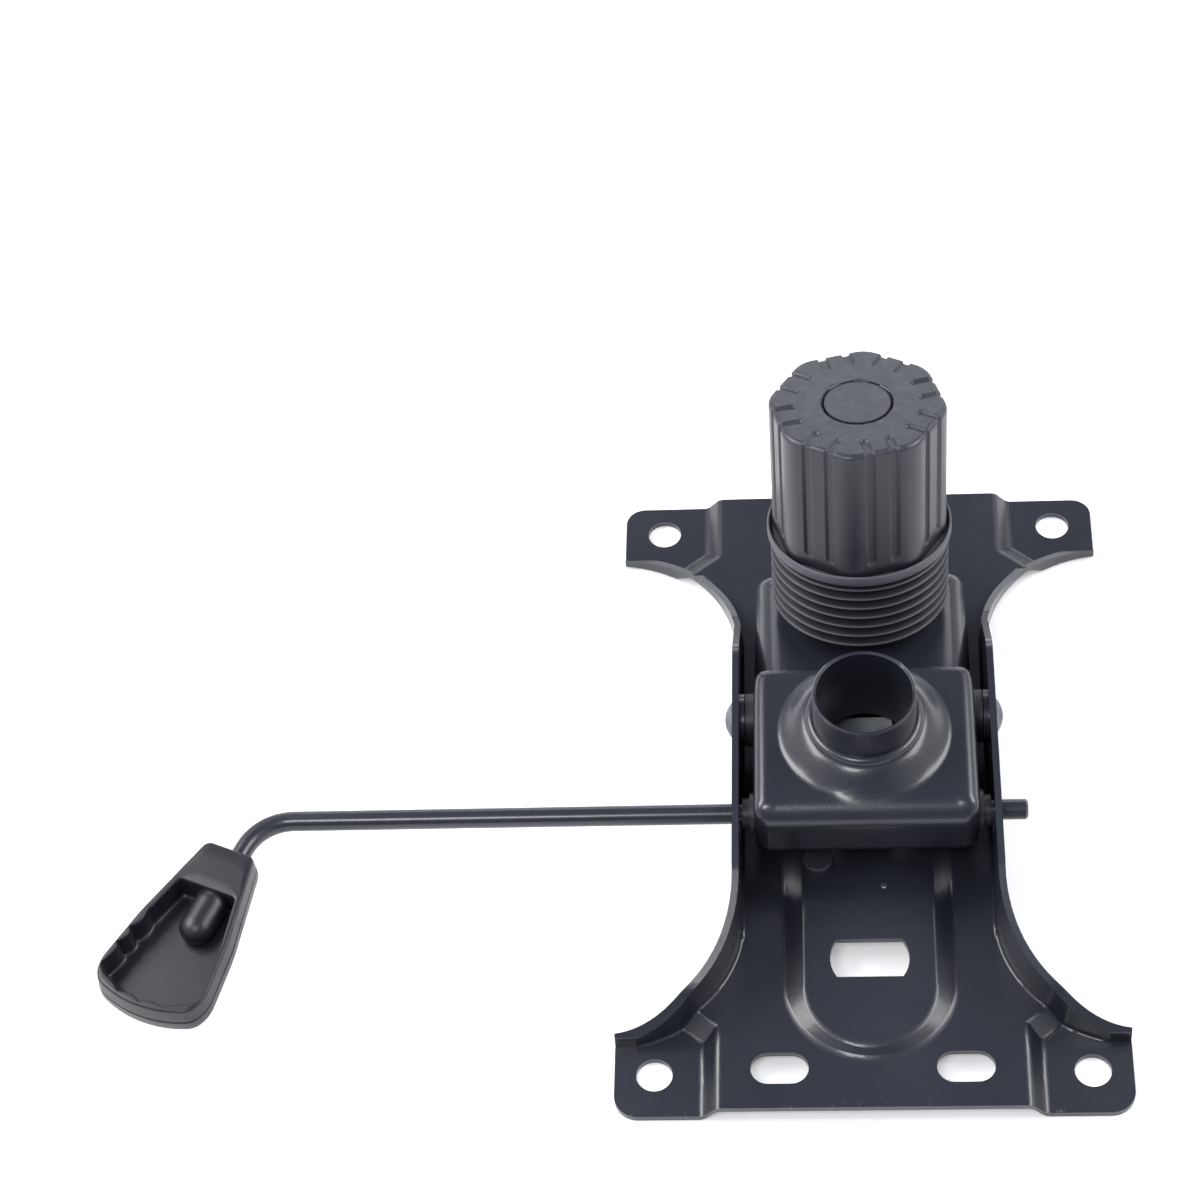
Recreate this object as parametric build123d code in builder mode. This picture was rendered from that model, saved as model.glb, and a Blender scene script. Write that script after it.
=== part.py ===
from build123d import *
import math
import os

# Office chair tilt mechanism. The seat plate's bolting face lies on z = 0, +Z points away
# from the seat, +Y is the chair's front, and the origin is the centre of the bolt pattern.

# Shared values
overrun = 5.0
fit_gap = 0.05
body_gap = 0.3

# Seat plate, pressed from one sheet
sheet = 2.0
bolt_spacing_x = 125.0
bolt_spacing_y = 200.0
bolt_hole_d = 10.5
front_margin = 10.5
rear_margin = 13.5
front_tab_reach = 75.0
rear_tab_reach = 74.0
front_tab_corner = 6.0
rear_tab_corner = 7.0
front_flare_r = 40.0
rear_flare_r = 37.5
front_flare_y = 48.2
rear_flare_y = -52.0
step_foot_x = 48.5
step_draft = 4.0
step_rise = 4.5
front_step_y = 91.0
rear_step_y = 90.0
step_flare_y = 9.0
step_flare_x = 11.0
channel_foot_w = 50.0
channel_head_w = 38.0
channel_rise = 3.0
channel_front_y = 97.0
channel_rear_y = 98.2
channel_rear_draft = 3.2
slot_spacing = 53.0
slot_length = 16.6
slot_width = 10.0
slot_y = -100.7
front_hole_d = 22.0
front_hole_w = 14.0
front_hole_y = 84.0
rear_hole_d = 23.0
rear_hole_w = 12.7
rear_hole_y = -66.2
drain_hole_d = 1.8
drain_hole_x = 4.7
drain_hole_y = -41.5

# Ears and flanges that are bent up from the plate's sides
ear_top = 36.0
ear_front_y = 28.0
ear_rear_y = -50.0
front_flange_y = 56.0
front_flange_z = 13.0
front_tip_y = 88.0
front_tip_z = 4.0
rear_flange_y = -68.0
rear_flange_z = 26.0
rear_mid_y = -82.0
rear_mid_z = 18.5
rear_tip_y = -90.5
rear_tip_z = 6.0
flange_bend_r = 9.0

# Housing that swings between the ears
housing_sheet = 2.5
housing_width = 65.6
ear_gap = 4.4
pivot_y = 8.0
pivot_z = 25.5
tilt_range = 12.0
housing_top = 41.0
housing_rear_y = -37.5
housing_front_y = 70.0
housing_step_y = 15.5
housing_step_run = 4.5
rear_foot_z = 21.8
front_foot_z = 10.5
mid_foot_y = 0.0
mid_foot_z = 14.5
corner_r = 5.0
top_edge_r = 3.5
shoulder_r = 6.0
boss_foot_r = 26.0
boss_head_r = 16.8
boss_rise = 6.5
boss_bell_shares = (0.62, 0.28)

# Socket tube for the gas lift
socket_y = -7.6
socket_bore_d = 28.0
socket_wall = 1.2
socket_bottom_z = 30.0
socket_mouth_z = 60.0
mouth_chamfer = 0.5
weld_width = 2.2
weld_height = 1.8

# Pivot rivets, washers and bushes
rivet_d = 8.0
rivet_head_d = 11.4
rivet_head_h = 2.4
rivet_tail_h = 2.0
washer_d = 16.0
washer_h = 1.6
bush_wall = 1.2

# Lever rod, its bushes and clips
rod_d = 6.0
rod_y = -28.0
rod_z = 28.5
rod_end_x = 47.0
rod_corner_x = -179.3
rod_bend_r = 15.0
tail_angle = 22.8
tail_entry = 13.8
tail_depth = 29.0
rod_chamfer = 0.6
rod_flat_depth = 0.8
rod_flat_reach = 30.0
rod_slot_gap = 0.4
rod_bush_wall = 1.6
rod_bush_reach = 3.4
rod_bush_brim = 1.4
clip_h = 1.2
clip_wall = 1.6
slide_range = 8.0

# Valve actuator on the rod
hub_half = 18.0
hub_wall = 1.6
tongue_w = 17.0
tongue_sheet = 2.4
tongue_top_z = 23.0
tongue_front_y = 10.0
tongue_neck_y = -21.0

# Paddle on the rod's tail
paddle_length = 58.0
paddle_neck_w = 16.0
paddle_wide_w = 38.5
paddle_shoulder_share = 0.82
paddle_h = 10.0
paddle_wall = 2.0
paddle_floor = 2.2
paddle_web = 15.0
paddle_offset = 1.5
paddle_corner_r = 7.0
paddle_neck_r = 2.5
paddle_edge_r = 1.2
paddle_boss_d = 10.6

# Tension axis, which leans forward from the plate's pocket
lean = 11.3
pocket_y = 51.5
pocket_z = 14.0
pocket_foot_x = 27.0
pocket_foot_y = 30.0
pocket_centre_y = 49.5
pocket_draft = 3.0
pocket_corner_r = 5.0
floor_t = 9.5

# Tension bolt, nut and spring
bolt_d = 9.9
bolt_end_t = 78.0
bolt_head_d = 16.5
bolt_head_h = 3.0
bolt_dome_h = 1.6
bolt_neck_w = 10.0
neck_gap = 0.2
rock_room = 0.6
bolt_room = 2.0
nut_flats = 17.0
nut_h = 8.0
spring_d = 38.0
spring_wire = 6.0
spring_length = 52.0
spring_turns = 5
end_climb_share = 1.1
seat_h = 1.6
seat_rim_h = 3.0
seat_rim_wall = 2.4
thrust_h = 2.0
thrust_d = 40.0

# Knob and bellows
knob_top_t = 87.7
knob_skirt_t = 41.2
knob_flats = 50.0
knob_corner_r = 12.0
knob_phase = -6.5
knob_wall = 2.5
knob_roof = 3.0
knob_edge_r = 1.0
knob_hub_wall = 3.0
knob_sides = 8
groove_w = 2.7
groove_depth = 0.5
groove_spread = 7.4
groove_foot = 5.0
groove_run = 6.5
cap_d = 19.5
cap_h = 1.2
cap_ring = 0.5
rib_count = 8
rib_pitch = 3.6
rib_first_t = 16.3
rib_r = 27.0
rib_root_r = 22.2
rib_shares = (0.0, 0.32, 0.46, 0.78)
bellows_bore_r = 20.6
collar_r = 28.2
collar_wall = 1.1
collar_h = 2.6
collar_shelf = 1.2

# Rubber buffer that stops the tilt
buffer_d = 9.0
buffer_h = 2.5
buffer_x = -14.6
buffer_y = -33.0

# Pressed folds
channel_fold_r = 2.5
main_fold_r = 3.0
tab_fold_r = 3.0
pocket_fold_r = 1.5
flange_fold_r = 1.0
sliver = 0.02
upright_limit = 0.01
middle_share = 0.5

# Worked out from the values above
plate_front_y = bolt_spacing_y / 2 + front_margin
plate_rear_y = -(bolt_spacing_y / 2 + rear_margin)
main_top = sheet + step_rise
channel_top = main_top + channel_rise
housing_half = housing_width / 2
housing_inner = housing_half - housing_sheet
ear_inner = housing_half + ear_gap
ear_outer = ear_inner + sheet
tube_r = socket_bore_d / 2 + socket_wall
boss_top = housing_top + boss_rise
rod_r = rod_d / 2
hub_r = rod_r + hub_wall
lean_sin = math.sin(math.radians(lean))
lean_cos = math.cos(math.radians(lean))
axis_dir = (0, lean_sin, lean_cos)
tail_sin = math.sin(math.radians(tail_angle))
tail_cos = math.cos(math.radians(tail_angle))
tail_dir = (-tail_sin, -tail_cos, 0)
spring_foot_t = floor_t + seat_h
spring_head_t = spring_foot_t + spring_length
thrust_top_t = spring_head_t + thrust_h
knob_hub_t = thrust_top_t + body_gap
nut_top_t = knob_hub_t + nut_h
bore_r = rivet_d / 2 + fit_gap


def axis_plane(t):
    """Plane square to the tension axis, t above the underside of the pocket's floor."""
    origin = (0, pocket_y + t * lean_sin, pocket_z + t * lean_cos)
    return Plane(origin=origin, x_dir=(1, 0, 0), z_dir=axis_dir)


def slope_z(y, t):
    """Height at y of the plane that is square to the tension axis at t."""
    run = y - pocket_y - t * lean_sin
    return pocket_z + t * lean_cos - run * lean_sin / lean_cos


def flare_angle(radius, reach):
    """Degrees that a flare arc turns from the ear to the tab's outer edge."""
    return math.degrees(math.acos((ear_outer + radius - reach) / radius))


def dome_middle(radius, rise):
    """Radius and height of the point half way down a spherical dome."""
    sphere_r = (radius ** 2 + rise ** 2) / (2 * rise)
    half_angle = math.asin(radius / sphere_r) / 2
    return sphere_r * math.sin(half_angle), sphere_r * math.cos(half_angle) - sphere_r + rise


def at_level(builder, level):
    """Edges of a part that lie flat at one height."""
    found = []
    for edge in builder.edges():
        box = edge.bounding_box()
        if abs(box.min.Z - level) < sliver and abs(box.max.Z - level) < sliver:
            found.append(edge)
    return found


def fold_edges(builder, level):
    """Edges of a pressed form at one height, without those of its upright outline."""
    upright = [face for face in builder.faces() if abs(face.normal_at().Z) < upright_limit]
    outline_edges = [edge for face in upright for edge in face.edges()]
    return [edge for edge in at_level(builder, level)
            if not any(edge.is_same(other) for other in outline_edges)]


def waist_edges(builder, level, side_x, flare_extra):
    """Edges at one height that follow one wall of the flange band."""
    found = []
    for edge in at_level(builder, level):
        middle = edge @ middle_share
        offsets = [abs(middle.X) - side_x]
        for centre, radius in ((front_centre, front_flare_r), (rear_centre, rear_flare_r)):
            reach = math.hypot(abs(middle.X) - centre[0], middle.Y - centre[1])
            offsets.append(reach - radius - flare_extra)
        if min(abs(offset) for offset in offsets) < sliver:
            found.append(edge)
    return found


def save(builder, name):
    """Label a finished piece and write it."""
    builder.part.label = name
    export_step(builder.part, f"parts/{name}.step")


os.makedirs("parts", exist_ok=True)

# Outline of the plate in plan: tabs, waist flares and straight ears
front_turn = flare_angle(front_flare_r, front_tab_reach)
rear_turn = flare_angle(rear_flare_r, rear_tab_reach)
front_centre = (ear_outer + front_flare_r, front_flare_y)
rear_centre = (ear_outer + rear_flare_r, rear_flare_y)
front_tip = front_flare_y + front_flare_r * math.sin(math.radians(front_turn))
rear_tip = rear_flare_y - rear_flare_r * math.sin(math.radians(rear_turn))

with BuildPart() as outline_block:
    with BuildSketch():
        with BuildLine():
            Line((0, plate_front_y), (front_tab_reach - front_tab_corner, plate_front_y))
            CenterArc((front_tab_reach - front_tab_corner, plate_front_y - front_tab_corner),
                      front_tab_corner, 90, -90)
            Line((front_tab_reach, plate_front_y - front_tab_corner), (front_tab_reach, front_tip))
            CenterArc(front_centre, front_flare_r, 180 - front_turn, front_turn)
            Line((ear_outer, front_flare_y), (ear_outer, rear_flare_y))
            CenterArc(rear_centre, rear_flare_r, 180, rear_turn)
            Line((rear_tab_reach, rear_tip), (rear_tab_reach, plate_rear_y + rear_tab_corner))
            CenterArc((rear_tab_reach - rear_tab_corner, plate_rear_y + rear_tab_corner),
                      rear_tab_corner, 0, -90)
            Line((rear_tab_reach - rear_tab_corner, plate_rear_y), (0, plate_rear_y))
            mirror(about=Plane.YZ)
        make_face()
    extrude(amount=ear_top)

# Raised middle of the plate, between the tabs
with BuildPart() as raised_block:
    for draft, height in ((0, sheet), (step_draft, main_top)):
        side_x = step_foot_x - draft
        wing_x = step_foot_x + step_flare_x - draft
        with BuildSketch(Plane.XY.offset(height)):
            with BuildLine():
                Polyline(
                    (side_x, plate_front_y + overrun),
                    (side_x, front_step_y - draft),
                    (wing_x, front_step_y - step_flare_y - draft),
                    (wing_x, -rear_step_y + step_flare_y + draft),
                    (side_x, -rear_step_y + draft),
                    (side_x, plate_rear_y - overrun),
                    (-side_x, plate_rear_y - overrun),
                    (-side_x, -rear_step_y + draft),
                    (-wing_x, -rear_step_y + step_flare_y + draft),
                    (-wing_x, front_step_y - step_flare_y - draft),
                    (-side_x, front_step_y - draft),
                    (-side_x, plate_front_y + overrun),
                    close=True,
                )
            make_face()
    loft(ruled=True)
    add(outline_block.part, mode=Mode.INTERSECT)

# The whole pressed form as a solid block, from the seat face to the upper surface
channel_foot_r = channel_foot_w / 2
channel_head_r = channel_head_w / 2
channel_ends = (
    (main_top, channel_foot_w, channel_front_y, channel_rear_y),
    (channel_top, channel_head_w, channel_front_y - channel_rear_draft,
     channel_rear_y - channel_rear_draft),
)
with BuildPart() as pressed_form:
    add(outline_block.part)
    split(bisect_by=Plane.XY.offset(sheet), keep=Keep.BOTTOM)
    add(raised_block.part)
    for height, width, front_y, rear_y in channel_ends:
        with BuildSketch(Plane.XY.offset(height)):
            with Locations((0, (front_y - rear_y) / 2)):
                SlotOverall(front_y + rear_y, width, rotation=90)
    loft()
    with BuildSketch(Plane.XY.offset(channel_top)):
        with Locations((0, pocket_centre_y)):
            RectangleRounded(pocket_foot_x, pocket_foot_y, pocket_corner_r)
    with BuildSketch(axis_plane(sheet)):
        with Locations((0, (pocket_centre_y - pocket_y) / lean_cos)):
            RectangleRounded(pocket_foot_x - 2 * pocket_draft, pocket_foot_y - 2 * pocket_draft,
                             pocket_corner_r - pocket_draft / 2)
    loft()

    # Soft folds at each level, with the plate's own outline left sharp
    for level, radius in ((channel_top, channel_fold_r), (main_top, main_fold_r), (sheet, tab_fold_r)):
        fillet(fold_edges(pressed_form, level), radius)
    pocket_floor = pressed_form.faces().filter_by(Axis((0, 0, 0), axis_dir)).sort_by(Axis.Z)[-1]
    fillet(pocket_floor.edges(), pocket_fold_r)

# Flanges and ears: a band along the waist, cut to its height in side view
with BuildPart() as flange_band:
    with BuildSketch():
        with BuildLine():
            CenterArc(front_centre, front_flare_r, 180 - front_turn, front_turn)
            Line((ear_outer, front_flare_y), (ear_outer, rear_flare_y))
            CenterArc(rear_centre, rear_flare_r, 180, rear_turn)
            inner_rear = CenterArc(rear_centre, rear_flare_r + sheet, 180, rear_turn)
            inner_front = CenterArc(front_centre, front_flare_r + sheet, 180 - front_turn, front_turn)
            Line((ear_inner, front_flare_y), (ear_inner, rear_flare_y))
            Line((rear_tab_reach, rear_tip), inner_rear @ 1)
            Line((front_tab_reach, front_tip), inner_front @ 0)
        make_face()
        mirror(about=Plane.YZ)
    extrude(amount=ear_top)
    with BuildSketch(Plane.YZ):
        with BuildLine():
            FilletPolyline(
                (front_tip_y + sheet, 0),
                (front_tip_y, front_tip_z),
                (front_flange_y, front_flange_z),
                (ear_front_y, ear_top),
                (ear_rear_y, ear_top),
                (rear_flange_y, rear_flange_z),
                (rear_mid_y, rear_mid_z),
                (rear_tip_y, rear_tip_z),
                (rear_tip_y, 0),
                radius=(sheet, flange_bend_r, flange_bend_r, flange_bend_r, flange_bend_r,
                        flange_bend_r, sheet),
            )
            Line((rear_tip_y, 0), (front_tip_y + sheet, 0))
        make_face()
    extrude(amount=front_tab_reach, both=True, mode=Mode.INTERSECT)

with BuildPart() as seat_plate:
    add(pressed_form.part)
    add(flange_band.part)
    add(pressed_form.part.moved(Location((0, 0, -sheet))), mode=Mode.SUBTRACT)
    with BuildSketch(Plane.XY.offset(-overrun)):
        with GridLocations(bolt_spacing_x, bolt_spacing_y, 2, 2):
            Circle(bolt_hole_d / 2)
        with Locations((0, slot_y)):
            with GridLocations(slot_spacing, 0, 2, 1):
                SlotOverall(slot_length, slot_width)
        with Locations((drain_hole_x, drain_hole_y)):
            Circle(drain_hole_d / 2)
    extrude(amount=channel_top + 2 * overrun, mode=Mode.SUBTRACT)
    for diameter, width, hole_y in ((front_hole_d, front_hole_w, front_hole_y),
                                    (rear_hole_d, rear_hole_w, rear_hole_y)):
        with BuildSketch(Plane.XY.offset(-overrun)):
            with Locations((0, hole_y)):
                Circle(diameter / 2)
                Rectangle(diameter, width, mode=Mode.INTERSECT)
        extrude(amount=channel_top + 2 * overrun, mode=Mode.SUBTRACT)
    # Square hole for the bolt's neck, longer towards the rear for the rocking bolt
    with BuildSketch(axis_plane(-sheet)):
        with Locations((0, -rock_room / 2)):
            Rectangle(bolt_neck_w + 2 * neck_gap, bolt_neck_w + 2 * neck_gap + rock_room)
    extrude(amount=sheet + overrun, mode=Mode.SUBTRACT)
    # Holes for the rivets and arc slots for the lever rod, round the pivot
    rod_radius = math.hypot(rod_y - pivot_y, rod_z - pivot_z)
    rod_angle = math.degrees(math.atan2(rod_z - pivot_z, rod_y - pivot_y))
    with BuildSketch(Plane.YZ):
        with Locations((pivot_y, pivot_z)):
            Circle(bore_r)
        with BuildLine():
            slot_half = rod_d / 2 + rod_slot_gap
            CenterArc((pivot_y, pivot_z), rod_radius + slot_half, rod_angle, tilt_range)
            CenterArc((pivot_y, pivot_z), rod_radius - slot_half, rod_angle, tilt_range)
            for end_angle, cap_angle in ((rod_angle, rod_angle + 180),
                                         (rod_angle + tilt_range, rod_angle + tilt_range)):
                end_y = pivot_y + rod_radius * math.cos(math.radians(end_angle))
                end_z = pivot_z + rod_radius * math.sin(math.radians(end_angle))
                CenterArc((end_y, end_z), slot_half, cap_angle, 180)
        make_face()
    extrude(amount=ear_outer + overrun, both=True, mode=Mode.SUBTRACT)
    # Soft folds between the plate and its flanges, inside and outside
    fillet(waist_edges(seat_plate, main_top, ear_inner, sheet), flange_fold_r)
    fillet(waist_edges(seat_plate, main_top - sheet, ear_outer, 0), flange_fold_r)
save(seat_plate, "seat_plate")

with BuildPart() as tilt_buffer:
    with BuildSketch(Plane.XY.offset(channel_top)):
        with Locations((buffer_x, buffer_y)):
            Circle(buffer_d / 2)
    extrude(amount=buffer_h)
    chamfer(tilt_buffer.faces().sort_by(Axis.Z)[-1].edges(), mouth_chamfer)
save(tilt_buffer, "tilt_buffer")


def housing_profile(inset, floor_drop):
    """Side view of the housing, moved inwards by inset, open below by floor_drop."""
    rear = housing_rear_y + inset
    front = housing_front_y - inset
    head_y = housing_step_y - inset
    foot_y = housing_step_y + housing_step_run - inset
    slope_t = floor_t - inset
    return (
        (rear, rear_foot_z - floor_drop),
        (rear, housing_top - inset),
        (head_y, housing_top - inset),
        (foot_y, slope_z(foot_y, slope_t)),
        (front, slope_z(front, slope_t)),
        (front, front_foot_z - floor_drop),
        (mid_foot_y, mid_foot_z - floor_drop),
    )


def housing_form(inset, floor_drop):
    """Closed block of the housing's outside, or of its hollow when it is inset."""
    with BuildPart() as form:
        with BuildSketch(Plane.YZ):
            with BuildLine():
                Polyline(*housing_profile(inset, floor_drop), close=True)
            make_face()
        extrude(amount=housing_half - inset, both=True)
        slope = Axis((0, 0, 0), (0, lean_cos, -lean_sin))
        fillet(form.edges().filter_by(slope), shoulder_r - inset)
        fillet(form.edges().filter_by(Axis.Z).group_by(Axis.Y)[0], corner_r - inset)
        fillet(form.faces().filter_by(Axis.Z).sort_by(Axis.Z)[-1].edges(), top_edge_r - inset)
        fillet(form.edges().filter_by(Axis.Z).group_by(Axis.Y)[-1], corner_r - inset)
    return form.part


outer_form = housing_form(0, 0)
inner_form = housing_form(housing_sheet, overrun)
bell_r = boss_foot_r + (boss_head_r - boss_foot_r) * boss_bell_shares[0]
bell_z = housing_top + boss_rise * boss_bell_shares[1]
socket_axis = Axis((0, socket_y, 0), (0, 0, 1))
socket_plane = Plane(origin=(0, socket_y, 0), x_dir=(1, 0, 0), z_dir=(0, -1, 0))


def bell(inset, foot_z):
    """Drawn boss round the socket, from foot_z up, moved inwards by inset."""
    with BuildPart() as form:
        with BuildSketch(socket_plane):
            with BuildLine():
                foot = (boss_foot_r - inset, housing_top - inset)
                head = (boss_head_r - inset, boss_top - inset)
                Line((0, foot_z), (foot[0], foot_z))
                Line((foot[0], foot_z), foot)
                ThreePointArc(foot, (bell_r - inset, bell_z - inset), head)
                Line(head, (0, head[1]))
                Line((0, head[1]), (0, foot_z))
            make_face()
        revolve(axis=socket_axis)
    return form.part


with BuildPart() as housing:
    add(outer_form)
    add(bell(0, housing_top - housing_sheet))
    add(inner_form, mode=Mode.SUBTRACT)
    add(bell(housing_sheet, housing_top - 2 * housing_sheet), mode=Mode.SUBTRACT)
    with BuildSketch(Plane.XY.offset(socket_bottom_z)):
        with Locations((0, socket_y)):
            Circle(tube_r + fit_gap)
    extrude(amount=socket_mouth_z - socket_bottom_z, mode=Mode.SUBTRACT)
    # Long hole for the bolt, which moves to the rear as the housing tilts
    with BuildSketch(axis_plane(0)):
        with Locations((0, -bolt_room / 2)):
            SlotOverall(bolt_d + bolt_room + 2 * body_gap, bolt_d + 2 * body_gap, rotation=90)
    extrude(amount=floor_t + overrun, mode=Mode.SUBTRACT)
    with BuildSketch(Plane.YZ):
        with Locations((pivot_y, pivot_z)):
            Circle(bore_r + bush_wall + fit_gap)
        with Locations((rod_y, rod_z)):
            Circle(rod_r + rod_bush_wall + 2 * fit_gap)
    extrude(amount=housing_half + overrun, both=True, mode=Mode.SUBTRACT)
save(housing, "housing")

with BuildPart() as gas_lift_socket:
    with BuildSketch(Plane.XY.offset(socket_bottom_z)):
        with Locations((0, socket_y)):
            Circle(tube_r)
            Circle(socket_bore_d / 2, mode=Mode.SUBTRACT)
    extrude(amount=socket_mouth_z - socket_bottom_z)
    chamfer(gas_lift_socket.faces().sort_by(Axis.Z)[-1].edges(), mouth_chamfer)
save(gas_lift_socket, "gas_lift_socket")

with BuildPart() as socket_weld:
    with BuildSketch(socket_plane):
        with BuildLine():
            inner_r = tube_r + fit_gap
            Polyline((inner_r, boss_top + weld_height), (inner_r, boss_top),
                     (inner_r + weld_width, boss_top))
            ThreePointArc((inner_r + weld_width, boss_top),
                          (inner_r + weld_width * math.sqrt(1 / 2),
                           boss_top + weld_height * math.sqrt(1 / 2)),
                          (inner_r, boss_top + weld_height))
        make_face()
    revolve(axis=socket_axis)
save(socket_weld, "socket_weld")

# Pivot: a shoulder rivet, a nylon bush and a plain washer on each side
pivot_axis = Axis((0, pivot_y, pivot_z), (1, 0, 0))
rod_axis = Axis((0, rod_y, rod_z), (1, 0, 0))


def side_plane(side, y, z):
    """Plane through an X axis at y and z: local x points outwards, local y is the radius."""
    return Plane(origin=(0, y, z), x_dir=(side, 0, 0), z_dir=(0, 0, side))


bush_head_h = ear_gap - washer_h - body_gap
for side, side_name in ((-1, "left"), (1, "right")):
    with BuildPart() as pivot_rivet:
        with BuildSketch(side_plane(side, pivot_y, pivot_z)):
            with BuildLine():
                tail_x = housing_inner - body_gap
                brow_r, brow_h = dome_middle(rivet_head_d / 2, rivet_head_h)
                Polyline((ear_outer + rivet_head_h, 0), (tail_x - rivet_tail_h, 0),
                         (tail_x - rivet_tail_h, rivet_head_d / 2), (tail_x, rivet_head_d / 2),
                         (tail_x, rivet_d / 2), (ear_outer, rivet_d / 2),
                         (ear_outer, rivet_head_d / 2))
                ThreePointArc((ear_outer, rivet_head_d / 2), (ear_outer + brow_h, brow_r),
                              (ear_outer + rivet_head_h, 0))
            make_face()
        revolve(axis=pivot_axis)
    save(pivot_rivet, f"pivot_rivet_{side_name}")

    with BuildPart() as pivot_bush:
        with BuildSketch(side_plane(side, pivot_y, pivot_z)):
            with BuildLine():
                Polyline((housing_inner, bore_r), (housing_half + bush_head_h, bore_r),
                         (housing_half + bush_head_h, washer_d / 2), (housing_half, washer_d / 2),
                         (housing_half, bore_r + bush_wall), (housing_inner, bore_r + bush_wall),
                         close=True)
            make_face()
        revolve(axis=pivot_axis)
    save(pivot_bush, f"pivot_bush_{side_name}")

    with BuildPart() as rod_bush:
        with BuildSketch(side_plane(side, rod_y, rod_z)):
            with BuildLine():
                rod_bore_r = rod_r + fit_gap
                rod_bush_r = rod_bore_r + rod_bush_wall
                Polyline((housing_inner, rod_bore_r),
                         (housing_half + rod_bush_reach, rod_bore_r),
                         (housing_half + rod_bush_reach, rod_bush_r),
                         (housing_half + clip_h, rod_bush_r),
                         (housing_half + clip_h, rod_bush_r + rod_bush_brim),
                         (housing_half, rod_bush_r + rod_bush_brim),
                         (housing_half, rod_bush_r),
                         (housing_inner, rod_bush_r),
                         close=True)
            make_face()
        revolve(axis=rod_axis)
    save(rod_bush, f"rod_bush_{side_name}")

with BuildPart() as pivot_washers:
    for side in (-1, 1):
        with BuildSketch(Plane.YZ.offset(side * ear_inner)):
            with Locations((pivot_y, pivot_z)):
                Circle(washer_d / 2)
                Circle(bore_r, mode=Mode.SUBTRACT)
        extrude(amount=-side * washer_h)
save(pivot_washers, "pivot_washers")

# Lever rod: straight through both ears, then one bend into the paddle
corner = Vector(rod_corner_x, rod_y, rod_z)
tail = Vector(*tail_dir)
bend_turn = 90 - tail_angle
bend_run = rod_bend_r * math.tan(math.radians(bend_turn / 2))
tail_end = corner + tail * (tail_entry + tail_depth)
with BuildPart() as lever_rod:
    with BuildLine() as rod_path:
        FilletPolyline((rod_end_x, rod_y, rod_z), corner, tail_end, radius=rod_bend_r)
    with BuildSketch(Plane(origin=(rod_end_x, rod_y, rod_z), z_dir=(-1, 0, 0))):
        Circle(rod_r)
    sweep(path=rod_path.wires()[0])
    chamfer(lever_rod.faces().sort_by(Axis.X)[-1].edges(), rod_chamfer)
    # Flat that keys the actuator to the rod, and still lets the rod slide
    with BuildSketch(Plane.XY.offset(rod_z + rod_r - rod_flat_depth)):
        with Locations((0, rod_y)):
            Rectangle(2 * rod_flat_reach, 2 * rod_d)
    extrude(amount=overrun, mode=Mode.SUBTRACT)
save(lever_rod, "lever_rod")

clip_r = rod_r + fit_gap
with BuildPart() as rod_clips:
    for clip_x in (-hub_half - body_gap - clip_h, hub_half + body_gap + slide_range):
        with BuildSketch(Plane.YZ.offset(clip_x)):
            with Locations((rod_y, rod_z)):
                Circle(clip_r + clip_wall)
                Circle(clip_r, mode=Mode.SUBTRACT)
        extrude(amount=clip_h)
save(rod_clips, "rod_clips")

tongue_low_z = tongue_top_z - tongue_sheet
with BuildPart() as valve_actuator:
    with BuildSketch(Plane.YZ):
        with Locations((rod_y, rod_z)):
            Circle(hub_r)
    extrude(amount=hub_half, both=True)
    with BuildSketch(Plane.YZ):
        with BuildLine():
            Polyline((rod_y, rod_z), (rod_y, tongue_low_z), (tongue_front_y, tongue_low_z),
                     (tongue_front_y, tongue_top_z), (tongue_neck_y, tongue_top_z),
                     (rod_y + hub_r, rod_z), close=True)
        make_face()
    extrude(amount=tongue_w / 2, both=True)
    with BuildSketch(Plane.YZ):
        with Locations((rod_y, rod_z)):
            Circle(rod_r + fit_gap)
        with Locations((rod_y, rod_z + rod_r - rod_flat_depth + fit_gap + overrun / 2)):
            Rectangle(2 * rod_d, overrun, mode=Mode.SUBTRACT)
    extrude(amount=hub_half + overrun, both=True, mode=Mode.SUBTRACT)
save(valve_actuator, "valve_actuator")

# Paddle: a shallow tray, open away from the seat, with a boss for the rod's tail
entry = corner + tail * tail_entry
paddle_low_z = rod_z - paddle_h / 2


def paddle_plane(z):
    """Plane at height z: local x runs along the rod's tail from the paddle's narrow end."""
    return Plane(origin=(entry.X, entry.Y, z), x_dir=tail_dir, z_dir=(0, 0, 1))


def paddle_face(inset, start):
    """Outline of the paddle in plan, moved inwards by inset, from start to the wide end."""
    shoulder = paddle_length * paddle_shoulder_share
    slope = (paddle_wide_w - paddle_neck_w) / 2 / shoulder
    near = paddle_neck_w / 2 + start * slope - inset
    far = paddle_wide_w / 2 - inset
    middle = -paddle_offset
    with BuildSketch(mode=Mode.PRIVATE) as face:
        with BuildLine():
            Line((start, middle - near), (shoulder, middle - far))
            ThreePointArc((shoulder, middle - far), (paddle_length - inset, middle),
                          (shoulder, middle + far))
            Line((shoulder, middle + far), (start, middle + near))
            Line((start, middle + near), (start, middle - near))
        make_face()
        ends = face.vertices().group_by(Axis.X)
        fillet(ends[-1], paddle_corner_r - inset)
        fillet(face.vertices().group_by(Axis.X)[0], paddle_neck_r)
    return face.sketch


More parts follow.
